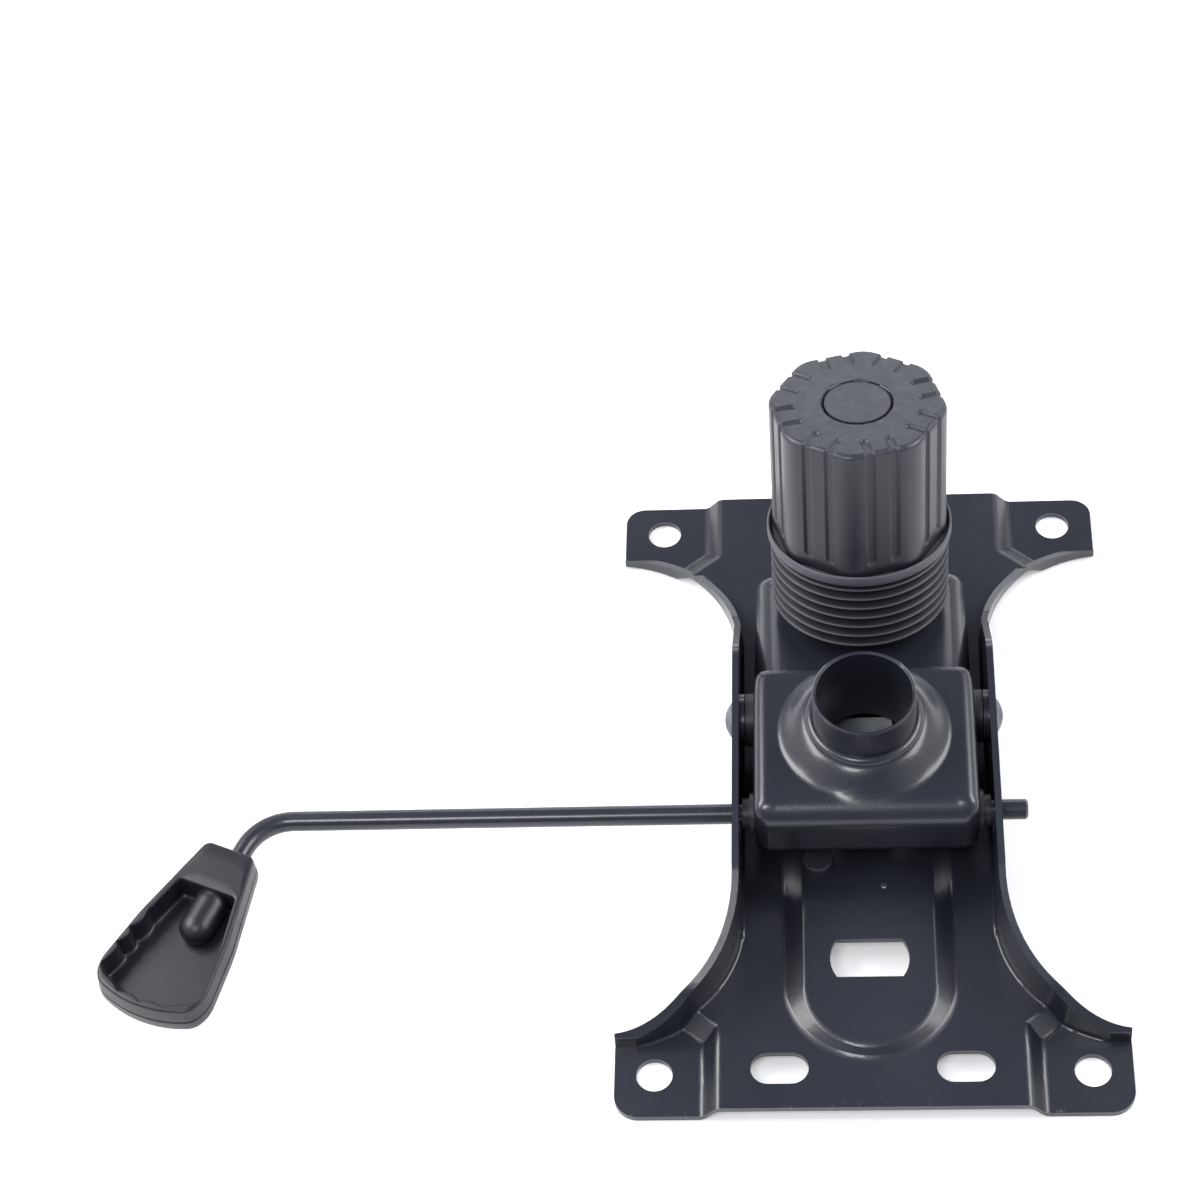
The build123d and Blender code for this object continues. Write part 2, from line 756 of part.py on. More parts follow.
with BuildPart() as paddle:
    with BuildSketch(paddle_plane(paddle_low_z)):
        add(paddle_face(0, 0))
    extrude(amount=paddle_h)
    chamfer(paddle.faces().sort_by(Axis.Z)[0].edges(), paddle_edge_r)
    with BuildSketch(paddle_plane(paddle_low_z + paddle_floor)):
        add(paddle_face(paddle_wall, paddle_web))
    extrude(amount=paddle_h, mode=Mode.SUBTRACT)
    boss_plane = Plane(origin=entry, x_dir=(0, 0, 1), z_dir=tail_dir)
    with BuildSketch(boss_plane.offset(paddle_web)):
        Circle(paddle_boss_d / 2)
        with Locations((-paddle_h / 4, 0)):
            Rectangle(paddle_h / 2, paddle_boss_d)
    extrude(amount=tail_depth - paddle_web + paddle_wall)
    with BuildSketch(boss_plane):
        Circle(rod_r + fit_gap)
    extrude(amount=tail_depth, mode=Mode.SUBTRACT)
save(paddle, "paddle")

# Tension bolt with a rocking head: flat towards the rear, relieved towards the front
head_plane = axis_plane(-body_gap)
with BuildPart() as tension_bolt:
    with BuildSketch(head_plane):
        Circle(bolt_head_d / 2)
    extrude(amount=-bolt_head_h)
    dome_plane = axis_plane(-body_gap - bolt_head_h)
    with BuildSketch(Plane(origin=dome_plane.origin, x_dir=(1, 0, 0), z_dir=dome_plane.y_dir)):
        with BuildLine():
            Line((0, 0), (bolt_head_d / 2, 0))
            ThreePointArc((bolt_head_d / 2, 0), dome_middle(bolt_head_d / 2, bolt_dome_h),
                          (0, bolt_dome_h))
            Line((0, bolt_dome_h), (0, 0))
        make_face()
    revolve(axis=Axis(dome_plane.origin, axis_dir))
    relief = bolt_head_d / 2 * math.tan(math.radians(tilt_range))
    with BuildSketch(Plane(origin=head_plane.origin, x_dir=head_plane.y_dir, z_dir=(1, 0, 0))):
        with BuildLine():
            Polyline((0, 0), (bolt_head_d / 2 + overrun, 0),
                     (bolt_head_d / 2 + overrun,
                      -(bolt_head_d / 2 + overrun) * math.tan(math.radians(tilt_range))),
                     close=True)
        make_face()
    extrude(amount=bolt_head_d, both=True, mode=Mode.SUBTRACT)
    with BuildSketch(axis_plane(-body_gap - relief)):
        Rectangle(bolt_neck_w, bolt_neck_w)
    extrude(amount=relief + body_gap + sheet)
    with BuildSketch(head_plane):
        Circle(bolt_d / 2)
    extrude(amount=bolt_end_t + body_gap)
    chamfer(tension_bolt.faces().sort_by(Axis.Z)[-1].edges(), rod_chamfer)
save(tension_bolt, "tension_bolt")

with BuildPart() as spring_seat_lower:
    seat_bore_r = bolt_d / 2 + bolt_room + body_gap
    rim_r = spring_d / 2 - spring_wire - body_gap
    with BuildSketch(axis_plane(floor_t)):
        Circle(spring_d / 2 + body_gap)
        Circle(seat_bore_r, mode=Mode.SUBTRACT)
    extrude(amount=seat_h)
    with BuildSketch(axis_plane(floor_t)):
        Circle(rim_r)
        Circle(rim_r - seat_rim_wall, mode=Mode.SUBTRACT)
    extrude(amount=seat_h + seat_rim_h)
save(spring_seat_lower, "spring_seat_lower")

# Spring: half-turn arcs whose ends lie square to the axis, closer at both ends
coil_r = (spring_d - spring_wire) / 2
half_turns = 2 * spring_turns
end_climb = spring_wire * end_climb_share / 2
mid_climb = (spring_length - spring_wire - 4 * end_climb) / (half_turns - 4)
climbs = [end_climb] * 2 + [mid_climb] * (half_turns - 4) + [end_climb] * 2
with BuildPart() as tension_spring:
    with BuildLine(axis_plane(spring_foot_t + spring_wire / 2)) as coil:
        height = 0
        for turn, climb in enumerate(climbs):
            sign = 1 - 2 * (turn % 2)
            half_chord = math.hypot(coil_r, climb / 2)
            ThreePointArc((sign * coil_r, 0, height), (0, sign * half_chord, height + climb / 2),
                          (-sign * coil_r, 0, height + climb))
            height += climb
    coil_wire = coil.wires()[0]
    with BuildSketch(Plane(origin=coil_wire @ 0, z_dir=coil_wire % 0)):
        Circle(spring_wire / 2)
    sweep(path=coil_wire)
save(tension_spring, "tension_spring")
print("spring: least gap between turns", round(2 * end_climb - spring_wire, 3))

with BuildPart() as thrust_washer:
    with BuildSketch(axis_plane(spring_head_t)):
        Circle(thrust_d / 2)
        Circle(bolt_d / 2 + body_gap, mode=Mode.SUBTRACT)
    extrude(amount=thrust_h)
save(thrust_washer, "thrust_washer")

# Bellows: a bored tube with ribs, and a collar round the knob's skirt
shelf_t = knob_skirt_t - body_gap - collar_shelf
with BuildPart() as bellows:
    rib_sections = [(floor_t + body_gap, rib_root_r), (rib_first_t - rib_pitch / 2, rib_root_r)]
    for rib in range(rib_count):
        rib_t = rib_first_t + (rib - 1 / 2) * rib_pitch
        low, crest_low, crest_high, high = (rib_t + share * rib_pitch for share in rib_shares)
        if rib > 0:
            rib_sections.append((low, rib_root_r))
        rib_sections += [(crest_low, rib_r), (crest_high, rib_r), (high, rib_root_r)]
    for section_t, section_r in rib_sections:
        with BuildSketch(axis_plane(section_t)):
            Circle(section_r)
    loft(ruled=True)
    with BuildSketch(axis_plane(shelf_t)):
        Circle(collar_r)
    extrude(amount=collar_shelf + body_gap + collar_h)
    with BuildSketch(axis_plane(rib_sections[-1][0])):
        Circle(rib_root_r)
    extrude(amount=shelf_t - rib_sections[-1][0])
    with BuildSketch(axis_plane(shelf_t + collar_shelf)):
        Circle(collar_r - collar_wall)
    extrude(amount=body_gap + collar_h + overrun, mode=Mode.SUBTRACT)
    with BuildSketch(axis_plane(floor_t)):
        Circle(bellows_bore_r)
    extrude(amount=shelf_t - floor_t + overrun, mode=Mode.SUBTRACT)
save(bellows, "bellows")

# Knob: an eight-sided cap with two grooves on each side and a hub for the nut
side_angle = 360 / knob_sides
corner_reach = knob_flats / 2 / math.cos(math.radians(side_angle / 2))
with BuildPart() as knob_body:
    with BuildSketch(axis_plane(knob_skirt_t)) as knob_outline:
        RegularPolygon(corner_reach, knob_sides, rotation=knob_phase)
        fillet(knob_outline.vertices(), knob_corner_r)
    extrude(amount=knob_top_t - knob_skirt_t)
    top_face = knob_body.faces().filter_by(Axis(axis_plane(0).origin, axis_dir)).sort_by(Axis.Z)[-1]
    fillet(top_face.edges(), knob_edge_r)
    with BuildSketch(axis_plane(knob_skirt_t)):
        Circle(knob_flats / 2 - knob_wall)
    extrude(amount=knob_top_t - knob_roof - knob_skirt_t, mode=Mode.SUBTRACT)
    with BuildSketch(axis_plane(knob_hub_t)):
        Circle(nut_flats / math.sqrt(3) + knob_hub_wall)
    extrude(amount=knob_top_t - knob_roof - knob_hub_t)
    with BuildSketch(axis_plane(knob_hub_t)):
        RegularPolygon(nut_flats / 2 + fit_gap, 6, major_radius=False)
    extrude(amount=nut_h + fit_gap, mode=Mode.SUBTRACT)
    with BuildSketch(axis_plane(nut_top_t)):
        Circle(bolt_d / 2 + body_gap)
    extrude(amount=knob_top_t - knob_roof - nut_top_t, mode=Mode.SUBTRACT)
    with BuildSketch(axis_plane(knob_top_t - cap_h)):
        Circle(cap_d / 2 + cap_ring)
    extrude(amount=cap_h + overrun, mode=Mode.SUBTRACT)
    # Grooves down each side and in over the roof
    with BuildSketch(axis_plane(knob_skirt_t + groove_foot)):
        with PolarLocations(0, knob_sides, start_angle=knob_phase + side_angle / 2):
            with Locations((knob_flats / 2, -groove_spread / 2), (knob_flats / 2, groove_spread / 2)):
                Rectangle(2 * groove_depth, groove_w)
    extrude(amount=knob_top_t - knob_skirt_t, mode=Mode.SUBTRACT)
    with BuildSketch(axis_plane(knob_top_t - groove_depth)):
        with PolarLocations(0, knob_sides, start_angle=knob_phase + side_angle / 2):
            with Locations((knob_flats / 2, -groove_spread / 2), (knob_flats / 2, groove_spread / 2)):
                Rectangle(2 * groove_run, groove_w)
    extrude(amount=groove_depth + overrun, mode=Mode.SUBTRACT)
save(knob_body, "knob_body")

with BuildPart() as knob_cap:
    with BuildSketch(axis_plane(knob_top_t - cap_h)):
        Circle(cap_d / 2)
    extrude(amount=cap_h)
save(knob_cap, "knob_cap")

with BuildPart() as knob_nut:
    with BuildSketch(axis_plane(knob_hub_t)):
        RegularPolygon(nut_flats / 2, 6, major_radius=False)
        Circle(bolt_d / 2 + fit_gap, mode=Mode.SUBTRACT)
    extrude(amount=nut_h)
save(knob_nut, "knob_nut")
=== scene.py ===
"""Looks of an office chair tilt mechanism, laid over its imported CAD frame."""

import math

import bpy
import numpy as np
from bpy.props import FloatProperty, FloatVectorProperty, PointerProperty
from bpy.types import Operator, Panel, PropertyGroup
from mathutils import Matrix


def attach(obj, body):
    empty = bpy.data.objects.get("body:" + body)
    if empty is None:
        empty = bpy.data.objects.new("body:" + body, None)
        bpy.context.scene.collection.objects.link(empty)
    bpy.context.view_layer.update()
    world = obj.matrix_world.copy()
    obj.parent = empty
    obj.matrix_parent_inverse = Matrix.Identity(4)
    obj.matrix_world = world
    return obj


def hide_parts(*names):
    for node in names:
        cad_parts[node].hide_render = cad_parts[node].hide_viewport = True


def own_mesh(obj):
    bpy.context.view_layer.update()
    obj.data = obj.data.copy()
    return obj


bl_info = {
    "name": "Chair tilt mechanism",
    "version": (1, 0, 0),
    "blender": (4, 5, 0),
    "location": "3D View > Sidebar > Tilt mechanism",
    "description": "Finishes and soft surfaces for the packed tilt mechanism of an office chair",
    "category": "Object",
}

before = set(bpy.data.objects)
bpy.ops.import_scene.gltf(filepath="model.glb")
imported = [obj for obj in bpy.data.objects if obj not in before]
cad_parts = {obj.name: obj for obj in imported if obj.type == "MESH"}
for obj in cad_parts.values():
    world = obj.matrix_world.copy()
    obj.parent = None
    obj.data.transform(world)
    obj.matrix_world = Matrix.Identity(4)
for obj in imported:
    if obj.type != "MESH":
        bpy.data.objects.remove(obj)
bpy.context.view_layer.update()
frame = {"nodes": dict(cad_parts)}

# One millimetre in the frame's metres
MM = 0.001
UP = np.array([0.0, 0.0, 1.0])

# The tension axis leans towards the front and starts at the bolt's seat
LEAN = math.radians(11.3)
AXIS_FOOT = np.array([0.0, 0.0515, 0.014])
AXIS_UP = np.array([0.0, math.sin(LEAN), math.cos(LEAN)])
AXIS_SIDE = np.array([1.0, 0.0, 0.0])
AXIS_FRONT = np.array([0.0, math.cos(LEAN), -math.sin(LEAN)])

# How far the knob is turned round the axis at rest
KNOB_TURN = math.radians(-6.5)

# The rod's tail turns back from the side by this angle, and enters the paddle here
TAIL = math.radians(22.8)
PADDLE_ENTRY = np.array([-0.18465, -0.04072, 0.0])


def millimetres(name, description, default):
    """A length property, shown in the scene's unit and given here in millimetres."""
    return FloatProperty(name=name, description=description, default=default * MM,
                         subtype="DISTANCE", unit="LENGTH", precision=4)


def colour(name, description, default):
    """A colour property in linear light."""
    return FloatVectorProperty(name=name, description=description, default=default,
                               subtype="COLOR", size=3, min=0.0, max=1.0)


class TiltColours(PropertyGroup):
    """Colours of the finishes."""

    paint: colour("Paint", "Satin paint on the pressed steel", (0.0095, 0.0110, 0.0165))
    paint_dust: colour("Paint haze", "Paler haze in the paint", (0.0200, 0.0220, 0.0300))
    dust: colour("Dust", "Pale dust specks in the paint", (0.16, 0.16, 0.17))
    moulding: colour("Moulding", "Dark grey plastic of the knob", (0.0180, 0.0195, 0.0260))
    paddle: colour("Paddle", "Darker plastic of the paddle", (0.0050, 0.0055, 0.0080))
    moulding_pale: colour("Moulding edges", "Rubbed edges of the plastic", (0.050, 0.052, 0.062))
    boot: colour("Boot", "Soft rubber of the ribbed boot", (0.0070, 0.0075, 0.0100))
    # Painted highlight on the rib crests, mixed with the rubber's pale bloom
    boot_bloom_and_crest_highlight: colour("Boot edges", "Paler crests of the ribs", (0.070, 0.072, 0.084))
    nylon: colour("Nylon", "Black nylon of the bushes", (0.018, 0.018, 0.021))
    zinc: colour("Zinc", "Bright zinc plating", (0.62, 0.63, 0.65))
    zinc_dull: colour("Dull zinc", "Dull patches in the plating", (0.40, 0.42, 0.45))
    rivet: colour("Rivets", "Greyed zinc of the pivot rivets", (0.20, 0.21, 0.235))
    rivet_dull: colour("Dull rivets", "Dull patches on the rivets", (0.11, 0.115, 0.135))
    washer: colour("Washers", "Dark zinc of the spring's washers", (0.050, 0.052, 0.058))
    washer_dull: colour("Dull washers", "Dull patches on the washers", (0.028, 0.029, 0.033))
    pits: colour("Pits", "Small pits in the plating", (0.10, 0.10, 0.11))
    oiled: colour("Oiled steel", "Oiled spring steel", (0.16, 0.16, 0.165))
    # Unpainted steel on worn edges, also used as a painted highlight along them
    bare_steel_and_highlight: colour("Bare steel", "Steel where the paint is rubbed off", (0.36, 0.36, 0.37))
    floor: colour("Floor", "Floor and backdrop", (0.80, 0.80, 0.80))


class KnobSizes(PropertyGroup):
    """Sizes of the tension knob, measured along and across its axis."""

    skirt: millimetres("Skirt", "Height of the skirt's lower edge on the axis", 41.2)
    top: millimetres("Top", "Height of the knob's top on the axis", 87.7)
    flats: millimetres("Flats", "Width across two flat sides", 50.0)
    corner: millimetres("Corner", "Radius of the eight corners", 9.0)
    edge: millimetres("Edge", "Radius between side and top", 1.6)
    wall: millimetres("Wall", "Thickness of the skirt", 2.5)
    roof: millimetres("Roof", "Thickness of the top", 3.0)
    flute: millimetres("Flute", "Width of a flute", 2.6)
    flute_depth: millimetres("Flute depth", "Depth of a flute", 0.8)
    flute_spread: millimetres("Flute spread", "Distance between the two flutes of a side", 7.4)
    flute_run: millimetres("Flute run", "How far a flute runs in from the side on the top", 6.0)
    flute_foot: millimetres("Flute foot", "Height of a flute's lower end over the skirt", 6.0)
    ring: millimetres("Ring", "Diameter of the ring round the cap", 20.5)


class BootSizes(PropertyGroup):
    """Sizes of the ribbed boot."""

    foot: millimetres("Foot", "Height of the foot on the axis", 9.8)
    first_rib: millimetres("First rib", "Height of the first rib on the axis", 16.3)
    pitch: millimetres("Pitch", "Distance from rib to rib", 3.6)
    crest: millimetres("Crest", "Radius of a rib's crest", 27.0)
    root: millimetres("Root", "Radius between the ribs", 22.2)
    bore: millimetres("Bore", "Radius of the bore", 20.6)
    shelf: millimetres("Shelf", "Height of the collar's shelf on the axis", 39.7)
    collar: millimetres("Collar", "Outer radius of the collar", 27.9)
    collar_wall: millimetres("Collar wall", "Thickness of the collar", 0.9)
    collar_top: millimetres("Collar top", "Height of the collar's rim on the axis", 43.4)


class HousingSizes(PropertyGroup):
    """Sizes of the pressed housing."""

    half: millimetres("Half width", "Half the width across the side walls", 32.8)
    rear: millimetres("Rear", "Distance of the rear wall from the pattern's centre", 37.5)
    front: millimetres("Front", "Distance of the front wall from the pattern's centre", 70.0)
    top: millimetres("Top", "Height of the box's top", 41.0)
    step: millimetres("Step", "Where the box steps down to the front section", 15.5)
    step_run: millimetres("Step run", "Length of the step", 5.5)
    seat: millimetres("Seat", "Height of the front section on the tension axis", 9.5)
    waist: millimetres("Waist", "How far the walls draw in at the step", 0.9)
    corner: millimetres("Corner", "Radius of the upright corners", 5.0)
    side_edge: millimetres("Side edge", "Radius along the box's sides", 4.0)
    rear_edge: millimetres("Rear edge", "Radius along the box's rear", 7.5)
    shoulder: millimetres("Shoulder", "Radius along the front section's sides", 8.0)
    rear_foot: millimetres("Rear foot", "Height of the rear wall's foot", 23.0)
    mid_foot: millimetres("Middle foot", "Height of the side wall's foot in the middle", 14.5)
    front_foot: millimetres("Front foot", "Height of the front wall's foot", 10.5)
    boss_foot: millimetres("Boss foot", "Radius of the boss's foot", 26.0)
    boss_head: millimetres("Boss head", "Radius of the boss's head", 16.8)
    boss_rise: millimetres("Boss rise", "Height of the boss", 6.5)
    tube: millimetres("Tube", "Outer radius of the tube in the boss", 15.25)
    socket_back: millimetres("Socket", "Distance of the tube behind the pattern's centre", 7.6)
    sheet: millimetres("Sheet", "Thickness of the sheet", 2.5)


class PaddleSizes(PropertyGroup):
    """Sizes of the moulded paddle, along and across its own length."""

    length: millimetres("Length", "Length from neck to wide end", 58.0)
    neck: millimetres("Neck", "Width at the neck", 16.0)
    wide: millimetres("Wide end", "Width at the wide end", 38.5)
    shoulder: millimetres("Shoulder", "Where the sides stop widening", 46.0)
    bulge: millimetres("Bulge", "Radius of the wide end's arc", 34.0)
    corner: millimetres("Corner", "Rounding of the wide end's corners", 6.0)
    neck_corner: millimetres("Neck corner", "Rounding of the neck's corners", 1.8)
    height: millimetres("Height", "Height of the paddle", 10.0)
    bottom: millimetres("Bottom", "Height of its flat face over the seat's face", 23.5)
    rim: millimetres("Rim", "Thickness of the rim", 2.3)
    floor: millimetres("Floor", "Thickness of the tray's floor", 2.2)
    scallop: millimetres("Scallop", "Depth of the tray's scalloped edge", 0.75)
    web: millimetres("Web", "Where the tray starts, from the neck", 15.0)
    boss: millimetres("Boss", "Diameter of the rod's boss", 10.6)
    reach: millimetres("Boss reach", "Where the boss's round end lies, from the neck", 31.0)
    offset: millimetres("Offset", "Sideways offset of the rod in the paddle", 1.5)


class SpringSizes(PropertyGroup):
    """Sizes of the tension spring."""

    foot: millimetres("Foot", "Height of the spring's foot on the axis", 11.1)
    head: millimetres("Head", "Height of the spring's head on the axis", 63.1)
    outer: millimetres("Outer", "Outer diameter of the coil", 38.0)
    wire: millimetres("Wire", "Diameter of the wire", 6.0)


# Shader graphs written as expressions

# Where a Mix node that blends colours has its two colours and its result
MIX_COLOURS = (6, 7)
MIX_RESULT = 2


class Sock:
    """An output socket in a shader graph. Arithmetic on it adds Math nodes."""

    def __init__(self, graph, socket):
        self.graph = graph
        self.socket = socket

    def math(self, operation, *values):
        return self.graph.node("ShaderNodeMath", {"operation": operation}, *values)

    def __add__(self, other):
        return self.math("ADD", self, other)

    def __radd__(self, other):
        return self.math("ADD", other, self)

    def __sub__(self, other):
        return self.math("SUBTRACT", self, other)

    def __rsub__(self, other):
        return self.math("SUBTRACT", other, self)

    def __mul__(self, other):
        return self.math("MULTIPLY", self, other)

    def __rmul__(self, other):
        return self.math("MULTIPLY", other, self)

    def __abs__(self):
        return self.math("ABSOLUTE", self)

    def power(self, exponent):
        return self.math("POWER", self, exponent)

    def most(self, other):
        return self.math("MAXIMUM", self, other)

    def least(self, other):
        return self.math("MINIMUM", self, other)

    def ramp(self, low, high):
        """0 at low and below, 1 at high and above, and smooth between them."""
        return self.graph.node("ShaderNodeMapRange", {"interpolation_type": "SMOOTHSTEP"},
                               self, low, high, 0.0, 1.0)


class Graph:
    """A node tree to which nodes are added one by one."""

    def __init__(self, tree):
        self.tree = tree

    def feed(self, socket, value):
        """Gives a socket a link or a constant."""
        if isinstance(value, Sock):
            self.tree.links.new(value.socket, socket)
        else:
            socket.default_value = value

    def node(self, kind, settings, *values, output=0, **named):
        """Adds one node: its settings first, then the values or links of its sockets."""
        made = self.tree.nodes.new(kind)
        for setting, value in settings.items():
            setattr(made, setting, value)
        for socket, value in zip([s for s in made.inputs if s.enabled], values):
            self.feed(socket, value)
        for name, value in named.items():
            self.feed(made.inputs[name], value)
        return Sock(self, made.outputs[output])

    def blend(self, factor, low, high):
        """A colour between two colours."""
        made = self.tree.nodes.new("ShaderNodeMix")
        made.data_type = "RGBA"
        self.feed(made.inputs["Factor"], factor)
        for index, shade in zip(MIX_COLOURS, (low, high)):
            self.feed(made.inputs[index], shade if isinstance(shade, Sock) else (*shade, 1.0))
        return Sock(self, made.outputs[MIX_RESULT])


class Finish(Graph):
    """A material whose nodes are added one by one round a Principled shader."""

    def __init__(self, name, roughness=0.5, metallic=0.0, coat=0.0, coat_roughness=0.2):
        self.material = bpy.data.materials.new(name)
        self.material.use_nodes = True
        super().__init__(self.material.node_tree)
        self.shader = self.tree.nodes["Principled BSDF"]
        self.set("Roughness", roughness)
        self.set("Metallic", metallic)
        self.set("Coat Weight", coat)
        self.set("Coat Roughness", coat_roughness)
        self.place = self.node("ShaderNodeTexCoord", {}, output="Object")
        parts = self.tree.nodes.new("ShaderNodeSeparateXYZ")
        self.feed(parts.inputs[0], self.place)
        self.x, self.y, self.z = (Sock(self, output) for output in parts.outputs)

    def set(self, socket, value):
        """Gives the shader a constant or a link."""
        self.feed(self.shader.inputs[socket], value)

    def noise(self, scale, detail=3.0, roughness=0.55, stretch=None):
        """Noise from 0 to 1 on the object's own coordinates, scale in cells per metre."""
        where = self.place
        if stretch:
            where = self.node("ShaderNodeMapping", {}, Vector=self.place, Scale=stretch)
        return self.node("ShaderNodeTexNoise", {}, Vector=where, Scale=scale, Detail=detail,
                         Roughness=roughness)

    def cells(self, scale):
        """Distance to the nearest of scattered points, in cell widths."""
        return self.node("ShaderNodeTexVoronoi", {}, Vector=self.place, Scale=scale)

    def bump(self, height, strength, distance):
        """Turns a height in 0 to 1 into the surface's normal."""
        self.set("Normal", self.node("ShaderNodeBump", {}, Strength=strength, Distance=distance,
                                     Height=height))

    def on(self, *objects, slot=None):
        """Puts the material on objects, in place of what they had."""
        for piece in objects:
            piece.data.materials.clear()
            piece.data.materials.append(self.material)


# Finishes. Each one's masks and mixes run from 0 to 1

def tones():
    """The scene's colour properties."""
    return bpy.context.scene.tilt_colours


def paint_finish(name, rubbed=None):
    """Satin paint: slow tone clouds, orange peel, scattered dust, and rubbed spots that also paint
    a highlight on the edges.

    rubbed(finish) may give a mask of edges where unpainted steel shows as wear and as a painted
    highlight.
    """
    made = Finish(name, coat=0.35, coat_roughness=0.16)
    clouds = made.noise(scale=38.0, detail=4.0)
    haze = made.noise(scale=9.0, detail=2.0).ramp(0.42, 0.72)
    dust = 1.0 - made.cells(scale=620.0).ramp(0.05, 0.11)
    specks = dust * made.noise(scale=70.0).ramp(0.56, 0.66)
    pale = (clouds * 0.45 + haze * 0.35).least(1.0)
    tone = made.blend(pale, tones().paint, tones().paint_dust)
    tone = made.blend(specks * 0.35, tone, tones().dust)
    streaks = made.noise(scale=210.0, detail=5.0, roughness=0.7, stretch=(1.0, 0.25, 1.0))
    scuffs = streaks.ramp(0.66, 0.74) * haze
    rough = 0.27 + clouds * 0.10 + scuffs * 0.18 + specks * 0.2
    if rubbed:
        patches = made.noise(scale=420.0, detail=4.0, roughness=0.65).ramp(0.60, 0.72)
        # Worn edges show unpainted steel, which also serves as a painted highlight along the rims
        chips_and_edge_highlight = rubbed(made) * patches
        tone = made.blend(chips_and_edge_highlight * 0.3, tone, tones().bare_steel_and_highlight)
        rough = rough + chips_and_edge_highlight * 0.08
        made.set("Metallic", chips_and_edge_highlight * 0.6)
    made.set("Base Color", tone)
    made.set("Roughness", rough)
    peel = made.noise(scale=900.0, detail=2.0, roughness=0.5)
    made.bump(peel * 0.5 + clouds * 0.6 + specks * 0.4, strength=0.16, distance=0.6 * MM)
    return made


def plate_rims(made):
    """Mask of the seat plate's ends and tab edges."""
    ends = abs(made.y).ramp(109.5 * MM, 112.8 * MM)
    sides = abs(made.x).ramp(73.2 * MM, 75.2 * MM)
    return (ends + sides).least(1.0)


def housing_rims(made):
    """Mask of the housing's corners: high where two of its outer faces are both near."""
    side = abs(made.x).ramp(31.8 * MM, 33.0 * MM)
    top = made.z.ramp(38.5 * MM, 41.2 * MM) * made.y.ramp(15.0 * MM, 8.0 * MM)
    rear = made.y.ramp(-35.8 * MM, -37.8 * MM)
    return side * top + side * rear + top * rear


def mouth_rim(made):
    """Mask of the socket's mouth."""
    return made.z.ramp(58.3 * MM, 60.2 * MM)


def moulding_finish(name, pale_mask=None, gloss=0.32, base=None, wear=1.0):
    """Moulded plastic: fine grain, faint flow clouds and paler rubbed spots.

    gloss is the least roughness, and wear scales the clouds and spots.
    """
    made = Finish(name)
    clouds = made.noise(scale=55.0, detail=4.0)
    grain = made.noise(scale=1500.0, detail=2.0)
    rubs = made.noise(scale=160.0, detail=5.0, roughness=0.7).ramp(0.55, 0.72)
    pale = (clouds * 0.22 + rubs * 0.16) * wear
    if pale_mask:
        pale = (pale + pale_mask(made) * 0.75).least(1.0)
    made.set("Base Color", made.blend(pale, base or tones().moulding, tones().moulding_pale))
    made.set("Roughness", gloss + clouds * 0.12 + rubs * 0.1 + grain * 0.06)
    made.bump(grain * 0.5 + clouds * 0.4, strength=0.2, distance=0.3 * MM)
    return made


def along_axis(made):
    """Height along the tension axis: the way from its foot, times the axis's direction."""
    return ((made.y - float(AXIS_FOOT[1])) * float(AXIS_UP[1])
            + (made.z - float(AXIS_FOOT[2])) * float(AXIS_UP[2]))


def knob_pale(made):
    """Paler shoulder round the knob's top."""
    shoulder = along_axis(made).ramp(85.2 * MM, 87.2 * MM)
    return shoulder * made.noise(scale=260.0).ramp(0.35, 0.75) * 0.6


def boot_finish():
    """Rubber with a painted highlight on the rib crests, taken from the distance to the tension
    axis, and pale bloom clouds.
    """
    made = Finish("boot rubber")
    height = along_axis(made)
    across_y = made.y - float(AXIS_FOOT[1]) - height * float(AXIS_UP[1])
    across_z = made.z - float(AXIS_FOOT[2]) - height * float(AXIS_UP[2])
    radius = (made.x * made.x + across_y * across_y + across_z * across_z).power(0.5)
    # Painted highlight: the outermost crest of each rib is made paler
    crest = radius.ramp(26.6 * MM, 27.1 * MM)
    bloom = made.noise(scale=120.0, detail=4.0)
    pale = (crest * 0.8 + bloom * 0.15).least(1.0)
    made.set("Base Color", made.blend(pale, tones().boot, tones().boot_bloom_and_crest_highlight))
    made.set("Roughness", 0.42 + bloom * 0.2)
    grain = made.noise(scale=1300.0)
    made.bump(grain * 0.5 + bloom * 0.5, strength=0.18, distance=0.3 * MM)
    return made


def zinc_finish(name, bright, dull, rough=0.27, metal=1.0):
    """Plated steel: dull patches, fine turning marks and small pits."""
    made = Finish(name, metallic=metal)
    patches = made.noise(scale=150.0, detail=4.0).ramp(0.35, 0.7)
    marks = made.noise(scale=2200.0, detail=2.0, roughness=0.5, stretch=(0.15, 1.0, 1.0))
    pits = 1.0 - made.cells(scale=900.0).ramp(0.06, 0.16)
    tone = made.blend(patches, bright, dull)
    made.set("Base Color", made.blend(pits * 0.5, tone, tones().pits))
    made.set("Roughness", rough + patches * 0.16 + pits * 0.2)
    made.bump(marks * 0.6 + pits * 0.4, strength=0.15, distance=0.2 * MM)
    return made


def nylon_finish():
    """Black nylon with a waxy sheen."""
    made = Finish("black nylon")
    clouds = made.noise(scale=240.0)
    made.set("Base Color", made.blend(clouds * 0.4, tones().nylon, tones().moulding))
    made.set("Roughness", 0.38 + clouds * 0.15)
    made.bump(made.noise(scale=1800.0), strength=0.12, distance=0.2 * MM)
    return made


# Surfaces worked out as whole grids

